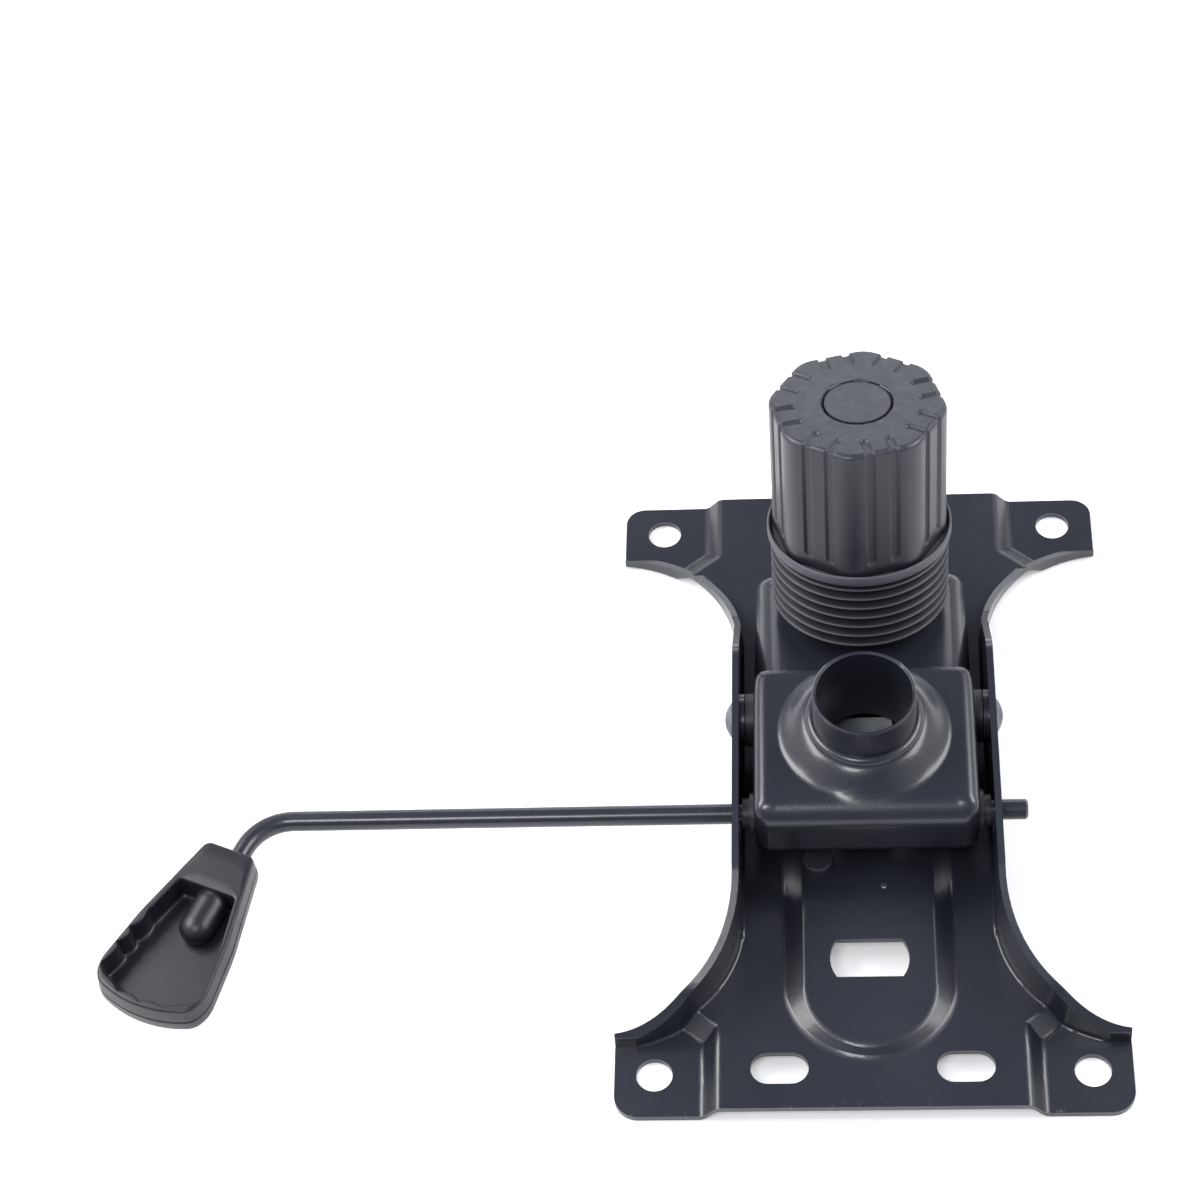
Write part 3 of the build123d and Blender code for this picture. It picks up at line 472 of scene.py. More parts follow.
def grid_piece(name, points, close_rows=True, capped=False):
    """A mesh object from points[row, column, xyz].

    Columns always close into a ring. Rows close into a loop where close_rows is set, and otherwise
    both ends may be capped by one face each. Quads run (r, c), (r, c+1), (r+1, c+1), (r+1, c).
    """
    rows, columns, _ = points.shape
    last = rows if close_rows else rows - 1
    r, c = np.meshgrid(np.arange(last), np.arange(columns), indexing="ij")
    r2, c2 = (r + 1) % rows, (c + 1) % columns
    corners = [r * columns + c, r * columns + c2, r2 * columns + c2, r2 * columns + c]
    faces = np.stack(corners, -1).reshape(-1, 4).tolist()
    if capped:
        faces.append(list(range(columns))[::-1])
        faces.append(list(range((rows - 1) * columns, rows * columns)))
    mesh = bpy.data.meshes.new(name)
    mesh.from_pydata(points.reshape(-1, 3).tolist(), [], faces)
    mesh.update()
    mesh.shade_smooth()
    piece = bpy.data.objects.new(name, mesh)
    bpy.context.scene.collection.objects.link(piece)
    return piece


def off_axis(t, x, y):
    """Points at height t on the tension axis and x, y across it: foot + t up + x side + y front."""
    return AXIS_FOOT + t[..., None] * AXIS_UP + x[..., None] * AXIS_SIDE + y[..., None] * AXIS_FRONT


def ring_angles(count):
    """Even angles round a full turn, without the last one that would meet the first."""
    return np.linspace(0, 2 * np.pi, count, endpoint=False)


def smooth(value, low, high):
    """Smoothstep from 0 at low to 1 at high."""
    share = np.clip((value - low) / (high - low), 0, 1)
    return share * share * (3 - 2 * share)


def turned_profile(profile, columns):
    """Points of a profile of (t, radius) pairs carried round the tension axis."""
    angle = ring_angles(columns)
    t, radius = np.asarray(profile, float).T
    t = np.broadcast_to(t[:, None], (len(t), columns))
    return off_axis(t, radius[:, None] * np.cos(angle), radius[:, None] * np.sin(angle))


def octagon_radius(angle, flats, corner):
    """Radius of a rounded octagon at an angle counted from the middle of a flat.

    Along a flat the radius is a / cos(angle), with a half the width across flats. Round a corner
    it is d cos(b) + sqrt(r^2 - d^2 sin^2(b)), with b counted from the corner and d its centre's
    reach. Returns the radius and the angle from the nearest flat's middle.
    """
    turn = np.pi / 4
    from_flat = (angle + turn / 2) % turn - turn / 2
    half = flats / 2
    reach = (half - corner) / math.cos(turn / 2)
    tangent = math.atan((half - corner) * math.tan(turn / 2) / half)
    from_corner = turn / 2 - np.abs(from_flat)
    inside = np.clip(corner ** 2 - (reach * np.sin(from_corner)) ** 2, 0, None)
    flat = half / np.cos(from_flat)
    rounded = reach * np.cos(from_corner) + np.sqrt(inside)
    return np.where(np.abs(from_flat) <= tangent, flat, rounded), from_flat


def knob_surface(sizes):
    """The knob as one closed skin over (profile, angle).

    The outer profile runs from the skirt up the side, over a rounded edge and across the top. A
    flute is a flat dip where the distance to its middle line, along the side and in over the top,
    is under half its width, so both its ends are round. The inner profile comes back down a plain
    round wall.
    """
    columns = 640
    angle = ring_angles(columns)
    outline, from_flat = octagon_radius(angle - np.pi / 8, sizes.flats, sizes.corner)
    edge_foot = sizes.top - sizes.edge
    edge_turn = np.linspace(0, np.pi / 2, 8)

    # Heights and insets of the rows: dense where the flutes end, so that their ends come out round
    skirt_rows = sizes.skirt + MM * np.concatenate([[0.0, 0.4], np.linspace(3.0, 7.5, 12)])
    side_rows = np.linspace(sizes.skirt + 11 * MM, edge_foot - 1 * MM, 10)
    side_in = np.zeros(len(skirt_rows) + len(side_rows))
    side_in[0] = 0.6 * MM
    top_rows = MM * np.concatenate([np.linspace(0.3, 8.8, 34), np.linspace(9.6, 13.0, 12)])
    t = np.concatenate([skirt_rows, side_rows, edge_foot + sizes.edge * np.sin(edge_turn),
                        np.full(len(top_rows), sizes.top)])
    inset = np.concatenate([side_in, sizes.edge * (1 - np.cos(edge_turn)), sizes.edge + top_rows])

    # The flutes are cut square to the skin: inwards on the side, downwards on the top
    radius = outline[None, :] - inset[:, None]
    height = np.broadcast_to(t[:, None], radius.shape)
    lateral = radius * np.sin(from_flat)
    apothem = radius * np.cos(from_flat)
    across = np.abs(np.abs(lateral) - sizes.flute_spread / 2)
    past_run = np.maximum(sizes.flats / 2 - sizes.flute_run - apothem, 0)
    past_foot = np.maximum(sizes.skirt + sizes.flute_foot - height, 0)
    distance = np.hypot(across, np.where(height > edge_foot, past_run, past_foot))
    half = sizes.flute / 2
    depth = sizes.flute_depth * (1 - smooth(distance, half - 0.35 * MM, half + 0.10 * MM))
    tip = np.clip((height - edge_foot) / sizes.edge, 0, 1) * np.pi / 2
    radius = radius - depth * np.cos(tip)
    height = height - depth * np.sin(tip)

    # The roof: a shallow ring groove round the cap, and the cap's recess
    centre = 4 * MM
    groove = sizes.top - 1.6 * MM
    ring_out = np.minimum(sizes.ring / 2, radius[-1].min() - 0.2 * MM)
    roof = [(sizes.top, ring_out + 0.6 * MM), (sizes.top - 0.4 * MM, ring_out + 0.3 * MM),
            (groove, ring_out), (groove, ring_out - 0.6 * MM), (groove, centre)]
    lower = sizes.top - sizes.roof
    bore = sizes.flats / 2 - sizes.wall
    back = [(lower, centre), (lower, bore - 2 * MM), (lower - 1 * MM, bore - 0.4 * MM),
            (lower - 3 * MM, bore), (sizes.skirt + 0.4 * MM, bore), (sizes.skirt, bore + 0.5 * MM)]
    outer = off_axis(height, radius * np.cos(angle), radius * np.sin(angle))
    inner = turned_profile(roof + back, columns)
    return turn_about_axis(np.concatenate([outer, inner]), KNOB_TURN)


def turn_about_axis(points, turn):
    """Turns points round the tension axis: each across-part by the angle, each height kept."""
    local = points - AXIS_FOOT
    t, x, y = local @ AXIS_UP, local @ AXIS_SIDE, local @ AXIS_FRONT
    return off_axis(t, x * math.cos(turn) - y * math.sin(turn),
                    x * math.sin(turn) + y * math.cos(turn))


def boot_profile(sizes):
    """Outline of the boot: eight lips, then the collar, the bore and the foot.

    Each lip is r = root + (crest - root) f(share of the pitch). f rises fast from the root, rounds
    over the crest and falls back on a straight slope.
    """
    share = np.array([0.0, 0.10, 0.22, 0.33, 0.40, 0.46, 0.52, 0.66, 0.82])
    swell = np.array([0.0, 0.42, 0.84, 0.985, 1.0, 0.985, 0.86, 0.42, 0.06])
    ribs = np.arange(8)[:, None]
    t = sizes.first_rib + (ribs - 0.5 + share[None, :]) * sizes.pitch
    r = sizes.root + (sizes.crest - sizes.root) * np.broadcast_to(swell, t.shape)
    lips = list(zip(t.ravel(), r.ravel()))
    shelf, collar, rim, top = sizes.shelf, sizes.collar, sizes.collar_wall, sizes.collar_top
    cup = [(shelf - 0.4 * MM, sizes.root), (shelf, sizes.root + 0.6 * MM),
           (shelf, collar - 0.8 * MM), (shelf + 0.3 * MM, collar - 0.2 * MM),
           (shelf + 0.9 * MM, collar), (top - 0.6 * MM, collar),
           (top - 0.1 * MM, collar - rim * 0.25), (top - 0.1 * MM, collar - rim * 0.75),
           (top - 0.6 * MM, collar - rim), (shelf + 1.3 * MM, collar - rim),
           (shelf + 1.2 * MM, collar - rim - 0.5 * MM),
           (shelf + 1.2 * MM, sizes.bore + 0.4 * MM), (shelf + 0.8 * MM, sizes.bore)]
    foot = [(sizes.foot + 0.3 * MM, sizes.bore), (sizes.foot, sizes.bore + 0.4 * MM),
            (sizes.foot, sizes.root - 0.4 * MM), (sizes.foot + 0.4 * MM, sizes.root)]
    return lips + cup + foot


def coil_points(sizes, turns=5.0, sides=18, steps=420):
    """The spring's wire: a ring of radius w carried along a helix of radius R.

    The helix at angle a is R cos a side + R sin a front + climb(a) up, with climb = share - 0.495
    sin(2 pi share) / (2 pi), so that it is slow at both ends and they lie nearly flat.
    """
    wire = sizes.wire / 2
    helix = sizes.outer / 2 - wire
    share = np.linspace(0, 1, steps)
    angle = share * turns * 2 * np.pi
    climb = share - 0.495 * np.sin(2 * np.pi * share) / (2 * np.pi)
    gap = 0.1 * MM
    low, high = sizes.foot + wire + gap, sizes.head - wire - gap
    centre = off_axis(low + (high - low) * climb, helix * np.cos(angle), helix * np.sin(angle))
    tangent = np.gradient(centre, axis=0)
    tangent /= np.linalg.norm(tangent, axis=1, keepdims=True)
    outward = AXIS_SIDE * np.cos(angle)[:, None] + AXIS_FRONT * np.sin(angle)[:, None]
    upward = np.cross(tangent, outward)
    around = ring_angles(sides)[None, :, None]
    return centre[:, None] + wire * (np.cos(around) * outward[:, None]
                                     + np.sin(around) * upward[:, None])


def box_outline(sizes, inset, arc_points=14, side_points=(26, 60, 26, 60)):
    """The housing's outline from above, drawn in by an inset: four sides and four quarter circles.

    Every call gives the same count of points in the same order, so outlines of several insets make
    rows. Returns the points and the outward direction at each.
    """
    half, low, high = sizes.half - inset, -sizes.rear + inset, sizes.front - inset
    radius = max(sizes.corner - inset, 0.8 * MM)
    corners = ((half, low, -90), (half, high, 0), (-half, high, 90), (-half, low, 180))
    middle = sizes.front - sizes.rear
    runs = []
    for (x, y, start), count in zip(corners, side_points):
        centre = np.array([x - math.copysign(radius, x), y - math.copysign(radius, y - middle)])
        turn = np.radians(start + np.linspace(0, 90, arc_points))
        facing = np.stack([np.cos(turn), np.sin(turn)], 1)
        runs.append((centre + radius * facing, facing, count))
    points, outward = [], []
    for (arc, facing, _), (after, _, count) in zip(runs, runs[1:] + runs[:1]):
        share = np.linspace(0, 1, count + 2)[1:-1, None]
        points += [arc, arc[-1] * (1 - share) + after[0] * share]
        outward += [facing, np.broadcast_to(facing[-1], (count, 2))]
    return np.concatenate(points), np.concatenate(outward)


def pressed_ground(sizes, y):
    """Height of the pressed top without its boss: the box's top, a smooth step, the leaning front.

    Front plane: z = foot + (seat - (y - foot) sin L) / cos L, with L the axis's lean.
    """
    lean = AXIS_FOOT[2] + (sizes.seat - (y - AXIS_FOOT[1]) * math.sin(LEAN)) / math.cos(LEAN)
    step = smooth(y, sizes.step - 1 * MM, sizes.step + sizes.step_run)
    return sizes.top * (1 - step) + lean * step


def boss_swell(sizes, x, y, ground):
    """How far the boss stands over the ground: a smooth bell that rises to one height all round."""
    radius = np.hypot(x, y + sizes.socket_back)
    share = smooth(sizes.boss_foot - radius, 0, sizes.boss_foot - sizes.boss_head)
    return (sizes.top + sizes.boss_rise - ground) * share


def housing_surface(sizes):
    """The housing's outer skin over (profile, outline).

    Rows climb the wall from the foot, round the edge by R(1 - cos a) inwards and R(1 - sin a) down,
    with R chosen by the way the wall faces, then close in on the boss and end at the tube. The
    boss's swell is added to all rows above the wall.
    """
    outer, facing = box_outline(sizes, 0.0)
    y = outer[:, 1]
    at_front = smooth(y, sizes.step - 2 * MM, sizes.step + 8 * MM)
    side_r = sizes.side_edge * (1 - at_front) + sizes.shoulder * at_front
    rearward = np.clip(-facing[:, 1], 0, 1) ** 2
    edge_r = side_r * (1 - rearward) + sizes.rear_edge * rearward
    reach = float(edge_r.max())
    inner, _ = box_outline(sizes, reach)
    inward = (inner - outer) / reach
    bend, bend_foot = -22 * MM, 19.2 * MM
    foot = np.interp(y, [-sizes.rear, bend, 0.0, sizes.front],
                     [sizes.rear_foot, bend_foot, sizes.mid_foot, sizes.front_foot])
    edge = outer + inward * edge_r[:, None]
    brim = pressed_ground(sizes, edge[:, 1])
    rows = [(outer, foot + share * (brim - edge_r - foot)) for share in np.linspace(0, 1, 8)]
    for turn in np.linspace(0, np.pi / 2, 14)[1:]:
        spot = outer + inward * (edge_r * (1 - math.cos(turn)))[:, None]
        height = brim - edge_r * (1 - math.sin(turn))
        rows.append((spot, height + boss_swell(sizes, *spot.T, height)))
    centre = np.array([0.0, -sizes.socket_back])
    away = edge - centre
    reach_out = np.hypot(*away.T)
    direction = away / reach_out[:, None]
    ring_r = np.minimum(sizes.boss_foot + 1 * MM, reach_out - 0.5 * MM)
    ring = centre + direction * ring_r[:, None]
    head = centre + direction * sizes.boss_head
    for start, end, count in ((edge, ring, 46), (ring, head, 30)):
        for share in np.linspace(0, 1, count)[1:]:
            spot = start * (1 - share) + end * share
            ground = pressed_ground(sizes, spot[:, 1])
            rows.append((spot, ground + boss_swell(sizes, *spot.T, ground)))
    mouth = np.full(len(direction), sizes.top + sizes.boss_rise)
    rows.append((centre + direction * sizes.tube, mouth))
    points = np.stack([np.column_stack([spot, height]) for spot, height in rows])

    # The waist draws the side walls in behind the step, less and less towards the boss
    draw_in = sizes.waist * np.exp(-((y - sizes.step - 3 * MM) / (6 * MM)) ** 2)
    fade = np.linspace(1, 0, len(rows))[:, None] ** 2
    points[..., 0] -= np.sign(points[..., 0]) * draw_in * np.abs(facing[:, 0]) * fade
    return points


def paddle_edge(sizes, inset, start, columns=320):
    """The paddle's outline as radii round a point inside it: the angles, the radii and the point.

    The outline is where sqrt(sum max(0, d + r)^2) = r, with d the distance past each side: the
    neck, the two slanting sides, the two straight ones and the bulging end. It is drawn in by the
    inset, but starts at the given place. The root is found by halving.
    """
    angle = ring_angles(columns)
    slope = math.atan((sizes.wide - sizes.neck) / 2 / sizes.shoulder)
    middle = sizes.length * 0.62

    def past(radius):
        s = middle + radius * np.cos(angle)
        widening = smooth(s, 6 * MM, 40 * MM)
        corner = sizes.neck_corner + (sizes.corner - sizes.neck_corner) * widening
        corner = np.maximum(corner - inset, 1.2 * MM)
        w = np.abs(radius * np.sin(angle))
        bulge = np.hypot(s - (sizes.length - sizes.bulge), w) - sizes.bulge
        slant = (w - sizes.neck / 2) * math.cos(slope) - s * math.sin(slope)
        sides = (start - s, slant + inset, w - sizes.wide / 2 + inset, bulge + inset)
        return np.sqrt(sum(np.maximum(d + corner, 0) ** 2 for d in sides)) - corner

    low, high = np.zeros(columns), np.full(columns, sizes.length)
    for _ in range(40):
        mean = (low + high) / 2
        outside = past(mean) > 0
        low, high = np.where(outside, low, mean), np.where(outside, mean, high)
    return angle, low, middle


def paddle_surface(sizes):
    """The paddle as one closed skin over (profile, angle), in its own frame (along, across, up).

    Rows run from the flat face's middle out, up the side past the parting line, over the rim, flat
    to the tray's edge, scalloped at the wide end and the left, and down to the floor's middle.
    """
    angle, outer, middle = paddle_edge(sizes, 0.0, 0.0)
    _, tray, _ = paddle_edge(sizes, sizes.rim, sizes.web)
    s = middle + tray * np.cos(angle)
    w = tray * np.sin(angle)
    wide_end = smooth(s, sizes.length * 0.80, sizes.length * 0.90)
    left = smooth(-w, 6 * MM, 10 * MM) * smooth(s, sizes.length * 0.42, sizes.length * 0.55)
    # Scallops: uneven round bays with sharper ridges between them
    wave = 1 - 2 * np.abs(np.sin(angle * 7.5 + 0.4 * np.sin(angle * 5))) ** 0.7
    tray = tray + sizes.scallop * wave * np.maximum(wide_end, left)
    top, low, parting = sizes.height, sizes.floor, sizes.height * 0.46

    # The side's rows as insets and heights: the lower edge, the parting line and the upper edge
    side = [(1.4 * MM, 0.0), (0.7 * MM, 0.2 * MM), (0.2 * MM, 0.7 * MM), (0.0, 1.4 * MM),
            (0.0, parting - 0.6 * MM), (0.0, parting - 0.35 * MM),
            (0.35 * MM, parting - 0.15 * MM), (0.35 * MM, parting + 0.15 * MM),
            (0.1 * MM, parting + 0.35 * MM), (0.2 * MM, parting + 1 * MM),
            (0.4 * MM, top - 1.2 * MM), (0.5 * MM, top - 0.5 * MM),
            (0.8 * MM, top - 0.15 * MM), (1.3 * MM, top)]
    # The tray wall's rows as widenings and heights, down to the floor
    wall = [(0.3 * MM, top), (0.0, top - 0.3 * MM), (-0.2 * MM, top - 1 * MM),
            (-0.4 * MM, low + 1.2 * MM), (-0.8 * MM, low + 0.4 * MM), (-1.5 * MM, low)]
    rim_out, rim_in = outer - side[-1][0], tray + wall[0][0]
    floor = tray + wall[-1][0]
    rows = [(outer * share, 0.0) for share in (0.02, 0.5, 0.9)]
    rows += [(outer - inset, up) for inset, up in side]
    rows += [(rim_out * (1 - share) + rim_in * share, top) for share in (0.35, 0.75)]
    rows += [(tray + widen, up) for widen, up in wall]
    rows += [(floor * share, low) for share in np.linspace(0.93, 0.02, 44)]
    radius = np.stack([r for r, _ in rows])
    up = np.broadcast_to(np.array([u for _, u in rows])[:, None], radius.shape)
    return np.stack([middle + radius * np.cos(angle), radius * np.sin(angle), up], -1)


def paddle_boss(sizes, sides=48):
    """The round ridge over the rod's end, in the paddle's own frame.

    It is a row of circles of radius r, the last ones shrinking by sqrt(r^2 - d^2), and 0.92 as
    high as wide.
    """
    radius = sizes.boss / 2
    start, end = sizes.web - 1 * MM, sizes.reach - radius
    turn = np.linspace(0, np.pi / 2, 26, endpoint=False)[1:]
    along = np.concatenate([[start, start + 4 * MM, end], end + radius * np.sin(turn)])
    spread = np.concatenate([[radius] * 3, radius * np.cos(turn)])[:, None]
    angle = ring_angles(sides)
    along = np.broadcast_to(along[:, None], (len(along), sides))
    across = sizes.offset + spread * np.cos(angle)
    up = sizes.height * 0.47 + spread * np.sin(angle) * 0.92
    return np.stack([along, across, up], -1)


# Operators, one for each piece or group of like pieces

class TILT_OT_pressed_steel(Operator):
    """Paint the seat plate, the gas lift socket and its weld"""

    bl_idname = "tilt.pressed_steel"
    bl_label = "Pressed steel"

    def execute(self, context):
        nodes = frame["nodes"]
        paint_finish("plate paint", plate_rims).on(nodes["seat_plate"], slot="black_paint")
        paint_finish("socket paint", mouth_rim).on(
            nodes["gas_lift_socket"], nodes["socket_weld"], slot="black_paint")
        return {"FINISHED"}


class TILT_OT_housing(Operator):
    """Press the housing with its soft edges and its boss"""

    bl_idname = "tilt.housing"
    bl_label = "Housing"

    def execute(self, context):
        sizes = context.scene.tilt_housing
        piece = grid_piece("housing_shell", housing_surface(sizes), close_rows=False)
        wall = piece.modifiers.new("sheet", "SOLIDIFY")
        wall.thickness, wall.offset = sizes.sheet, -1.0
        paint_finish("housing paint", housing_rims).on(piece, slot="black_paint")
        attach(piece, "housing")
        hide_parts("housing")
        return {"FINISHED"}


class TILT_OT_small_metal(Operator):
    """Plate the rivets, washers, bolt, nut, spring seat, clips and actuator"""

    bl_idname = "tilt.small_metal"
    bl_label = "Rivets, bolt and actuator"

    def execute(self, context):
        nodes, tone = frame["nodes"], tones()
        zinc_finish("bright zinc", tone.zinc, tone.zinc_dull).on(
            nodes["tension_bolt"], nodes["knob_nut"], slot="zinc")
        zinc_finish("dull zinc", tone.washer, tone.washer_dull, rough=0.5).on(
            nodes["thrust_washer"], nodes["spring_seat_lower"], slot="zinc")
        zinc_finish("pressed zinc", tone.zinc, tone.zinc_dull, rough=0.5, metal=0.35).on(
            nodes["valve_actuator"], slot="zinc")
        zinc_finish("rivet zinc", tone.rivet, tone.rivet_dull, rough=0.45).on(
            nodes["pivot_rivet_left"], nodes["pivot_rivet_right"], slot="zinc")
        paint_finish("washer coating").on(nodes["pivot_washers"], slot="dark_steel")
        zinc_finish("clip steel", tone.oiled, tone.zinc_dull, rough=0.34).on(
            nodes["rod_clips"], slot="spring_steel")
        return {"FINISHED"}


class TILT_OT_bushes(Operator):
    """Give the bushes and the buffer their nylon and rubber"""

    bl_idname = "tilt.bushes"
    bl_label = "Bushes and buffer"

    def execute(self, context):
        nodes = frame["nodes"]
        nylon_finish().on(nodes["pivot_bush_left"], nodes["pivot_bush_right"],
                          nodes["rod_bush_left"], nodes["rod_bush_right"], slot="black_nylon")
        moulding_finish("buffer rubber", gloss=0.5).on(nodes["tilt_buffer"], slot="boot_rubber")
        return {"FINISHED"}


class TILT_OT_lever(Operator):
    """Coat the lever rod and mould the paddle"""

    bl_idname = "tilt.lever"
    bl_label = "Lever and paddle"

    def execute(self, context):
        paint_finish("rod coating").on(frame["nodes"]["lever_rod"], slot="dark_steel")
        sizes = context.scene.tilt_paddle
        tail = np.array([-math.sin(TAIL), -math.cos(TAIL), 0.0])
        side = np.array([math.cos(TAIL), -math.sin(TAIL), 0.0])
        plastic = moulding_finish("paddle plastic", gloss=0.30, base=tones().paddle, wear=0.4)
        for name, skin in (("paddle_skin", paddle_surface(sizes)),
                           ("paddle_boss", paddle_boss(sizes))):
            along, across, up = np.split(skin, 3, axis=-1)
            points = (PADDLE_ENTRY + along * tail + (across - sizes.offset) * side
                      + (up + sizes.bottom) * UP)
            piece = grid_piece(name, points, close_rows=False, capped=True)
            plastic.on(piece, slot="knob_plastic")
            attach(piece, "lever")
            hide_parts("paddle")
        return {"FINISHED"}


class TILT_OT_knob(Operator):
    """Build the grooved tension knob and finish its cap"""

    bl_idname = "tilt.knob"
    bl_label = "Tension knob"

    def execute(self, context):
        piece = grid_piece("knob_skin", knob_surface(context.scene.tilt_knob))
        moulding = moulding_finish("knob plastic", knob_pale, gloss=0.27)
        moulding.on(piece, frame["nodes"]["knob_cap"], slot="knob_plastic")
        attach(piece, "knob")
        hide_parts("knob_body")
        return {"FINISHED"}


class TILT_OT_boot(Operator):
    """Build the ribbed boot"""

    bl_idname = "tilt.boot"
    bl_label = "Ribbed boot"

    def execute(self, context):
        sizes = context.scene.tilt_boot
        piece = grid_piece("boot_skin", turned_profile(boot_profile(sizes), columns=160))
        boot_finish().on(piece, slot="boot_rubber")
        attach(piece, "spring_top")
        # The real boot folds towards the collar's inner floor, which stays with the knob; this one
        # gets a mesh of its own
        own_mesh(piece)
        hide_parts("bellows")
        return {"FINISHED"}


class TILT_OT_spring(Operator):
    """Wind the tension spring. The real one shortens as the housing tilts."""

    bl_idname = "tilt.spring"
    bl_label = "Tension spring"

    def execute(self, context):
        sizes = context.scene.tilt_spring
        piece = grid_piece("spring_coil", coil_points(sizes), close_rows=False, capped=True)
        zinc_finish("oiled spring steel", tones().oiled, tones().moulding_pale, rough=0.32).on(
            piece, slot="spring_steel")
        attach(piece, "housing")
        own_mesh(piece)
        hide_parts("tension_spring")
        return {"FINISHED"}


# The stage: lamps as name, place, width, height and power, all turned towards one point
LAMPS = (
    ("left panel", (-0.76, 0.20, 0.78), 0.9, 0.45, 12.0),
    ("right panel", (0.76, 0.20, 0.78), 0.9, 0.45, 9.0),
    ("front panel", (-0.30, -0.62, 1.05), 0.35, 0.3, 5.0),
    ("back panel", (0.0, 1.3, 0.55), 1.2, 0.35, 4.0),
)
LAMP_AIM = (0.0, 0.0, 0.03)

# The world is a light tent: bright at the sides, dimmer in front, behind and overhead
TENT_DIM = (0.235, 0.26, 0.345)
TENT_BRIGHT = (1.05, 1.06, 1.10)
WHITE = (1.0, 1.0, 1.0)
BLACK = (0.0, 0.0, 0.0)

# The floor shows these greys to the camera, near the part and far from it
FLOOR_NEAR = (0.32, 0.32, 0.32)
FLOOR_FAR = (0.85, 0.85, 0.85)
FLOOR_HALF = 3.0
FLOOR_LEVEL = -0.4 * MM

# The camera that sees the part as the photograph does
CAMERA_LENS = 96.46
CAMERA_PLACE = (-0.008278, -0.559927, 0.812332)
CAMERA_TURN = Matrix(((0.99713982, 0.02175529, 0.07238016),
                      (0.02738553, 0.78859516, -0.61430262),
                      (-0.07044297, 0.61452777, 0.78574385)))


def softbox(name, place, width, height, power):
    """An area lamp at a place, turned towards the part."""
    lamp = bpy.data.lights.new(name, "AREA")
    lamp.shape, lamp.size, lamp.size_y, lamp.energy = "RECTANGLE", width, height, power
    holder = bpy.data.objects.new(name, lamp)
    back = np.array(place) - np.array(LAMP_AIM)
    back /= np.linalg.norm(back)
    right = np.cross(UP, back)
    right /= np.linalg.norm(right)
    turn = Matrix(np.column_stack([right, np.cross(back, right), back]).tolist())
    holder.matrix_world = Matrix.Translation(place) @ turn.to_4x4()
    bpy.context.scene.collection.objects.link(holder)
    return holder


def floor_finish():
    """A plain floor. To the camera and in reflections it grows paler with distance."""
    made = Finish("floor", roughness=1.0)
    made.set("Specular IOR Level", 0.0)
    made.set("Base Color", (*tones().floor, 1.0))
    camera_ray = made.node("ShaderNodeLightPath", {}, output="Is Camera Ray")
    direct = camera_ray.most(made.node("ShaderNodeLightPath", {}, output="Is Glossy Ray"))
    distance = (made.x * made.x + made.y * made.y).power(0.5)
    glow = made.blend(distance.ramp(0.35, 1.3), FLOOR_NEAR, FLOOR_FAR)
    made.set("Emission Color", made.blend(direct, BLACK, glow))
    made.set("Emission Strength", 1.0)
    return made


def light_tent():
    """A world that lights the part by the way it faces, and that the camera sees as white."""
    world = bpy.data.worlds.new("studio")
    world.use_nodes = True
    sky = Graph(world.node_tree)
    way = sky.node("ShaderNodeTexCoord", {}, output="Generated")
    sideways = abs(sky.node("ShaderNodeSeparateXYZ", {}, way, output="X"))
    tent = sky.blend(sideways.ramp(0.25, 0.95), TENT_DIM, TENT_BRIGHT)
    camera_ray = sky.node("ShaderNodeLightPath", {}, output="Is Camera Ray")
    background = sky.tree.nodes["Background"]
    sky.feed(background.inputs["Color"], sky.blend(camera_ray, tent, WHITE))
    return world


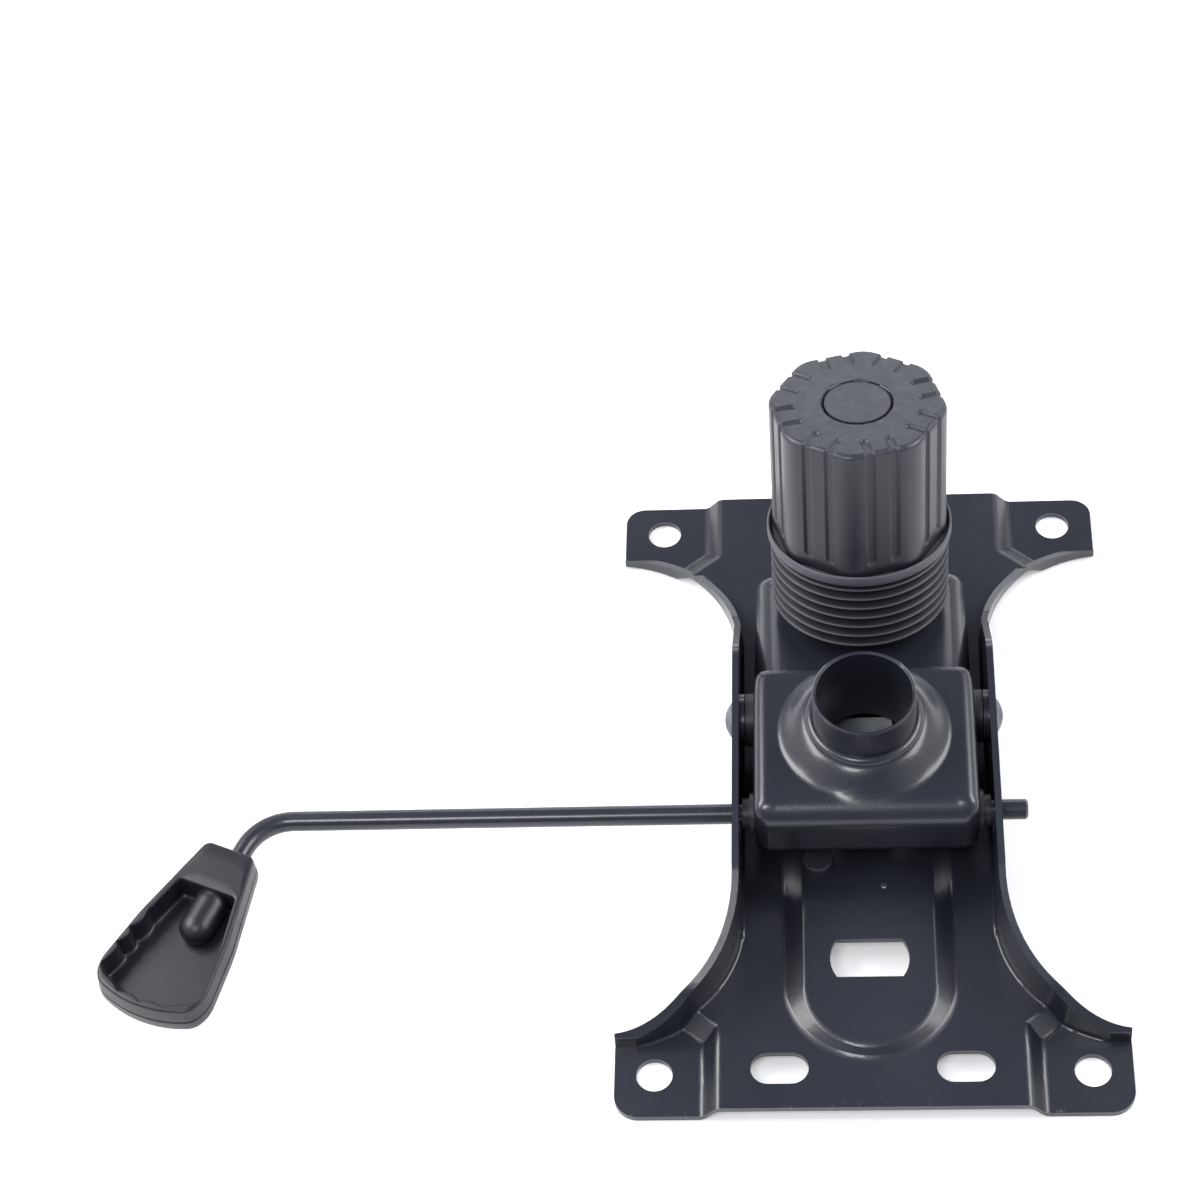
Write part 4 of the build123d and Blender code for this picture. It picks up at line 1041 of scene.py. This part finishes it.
class TILT_OT_stage(Operator):
    """Set up the floor, the soft light and the camera"""

    bl_idname = "tilt.stage"
    bl_label = "Stage"

    def execute(self, context):
        scene = context.scene
        scene.view_settings.view_transform = "Standard"
        corners = ((-1, -1), (1, -1), (1, 1), (-1, 1))
        mesh = bpy.data.meshes.new("floor")
        mesh.from_pydata([(x * FLOOR_HALF, y * FLOOR_HALF, FLOOR_LEVEL) for x, y in corners],
                         [], [(0, 1, 2, 3)])
        floor = bpy.data.objects.new("floor", mesh)
        scene.collection.objects.link(floor)
        floor_finish().on(floor)
        scene.world = light_tent()
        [softbox(*lamp) for lamp in LAMPS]

        camera = bpy.data.cameras.new("photo_camera")
        camera.lens, camera.sensor_width, camera.clip_start = CAMERA_LENS, 36.0, 0.01
        holder = bpy.data.objects.new("photo_camera", camera)
        holder.matrix_world = Matrix.Translation(CAMERA_PLACE) @ CAMERA_TURN.to_4x4()
        scene.collection.objects.link(holder)
        scene.camera = holder
        return {"FINISHED"}


OPERATORS = (
    TILT_OT_pressed_steel, TILT_OT_housing, TILT_OT_small_metal, TILT_OT_bushes, TILT_OT_lever,
    TILT_OT_knob, TILT_OT_boot, TILT_OT_spring, TILT_OT_stage,
)
GROUPS = {
    "tilt_colours": TiltColours, "tilt_housing": HousingSizes, "tilt_knob": KnobSizes,
    "tilt_boot": BootSizes, "tilt_spring": SpringSizes, "tilt_paddle": PaddleSizes,
}


class TILT_PT_panel(Panel):
    """Sizes, colours and the steps that build the mechanism's looks"""

    bl_idname = "TILT_PT_panel"
    bl_label = "Tilt mechanism"
    bl_space_type = "VIEW_3D"
    bl_region_type = "UI"
    bl_category = "Tilt mechanism"

    def draw(self, context):
        layout = self.layout
        for operator in OPERATORS:
            layout.operator(operator.bl_idname)
        for name, group in GROUPS.items():
            box = layout.box()
            for prop in group.__annotations__:
                box.prop(getattr(context.scene, name), prop)


def register():
    for kind in (*GROUPS.values(), *OPERATORS, TILT_PT_panel):
        bpy.utils.register_class(kind)
    for name, group in GROUPS.items():
        setattr(bpy.types.Scene, name, PointerProperty(type=group))


def unregister():
    for name in GROUPS:
        delattr(bpy.types.Scene, name)
    for kind in reversed((*GROUPS.values(), *OPERATORS, TILT_PT_panel)):
        bpy.utils.unregister_class(kind)


def main():
    register()
    for operator in OPERATORS:
        group, name = operator.bl_idname.split(".")
        getattr(getattr(bpy.ops, group), name)()


if __name__ == "__main__":
    main()
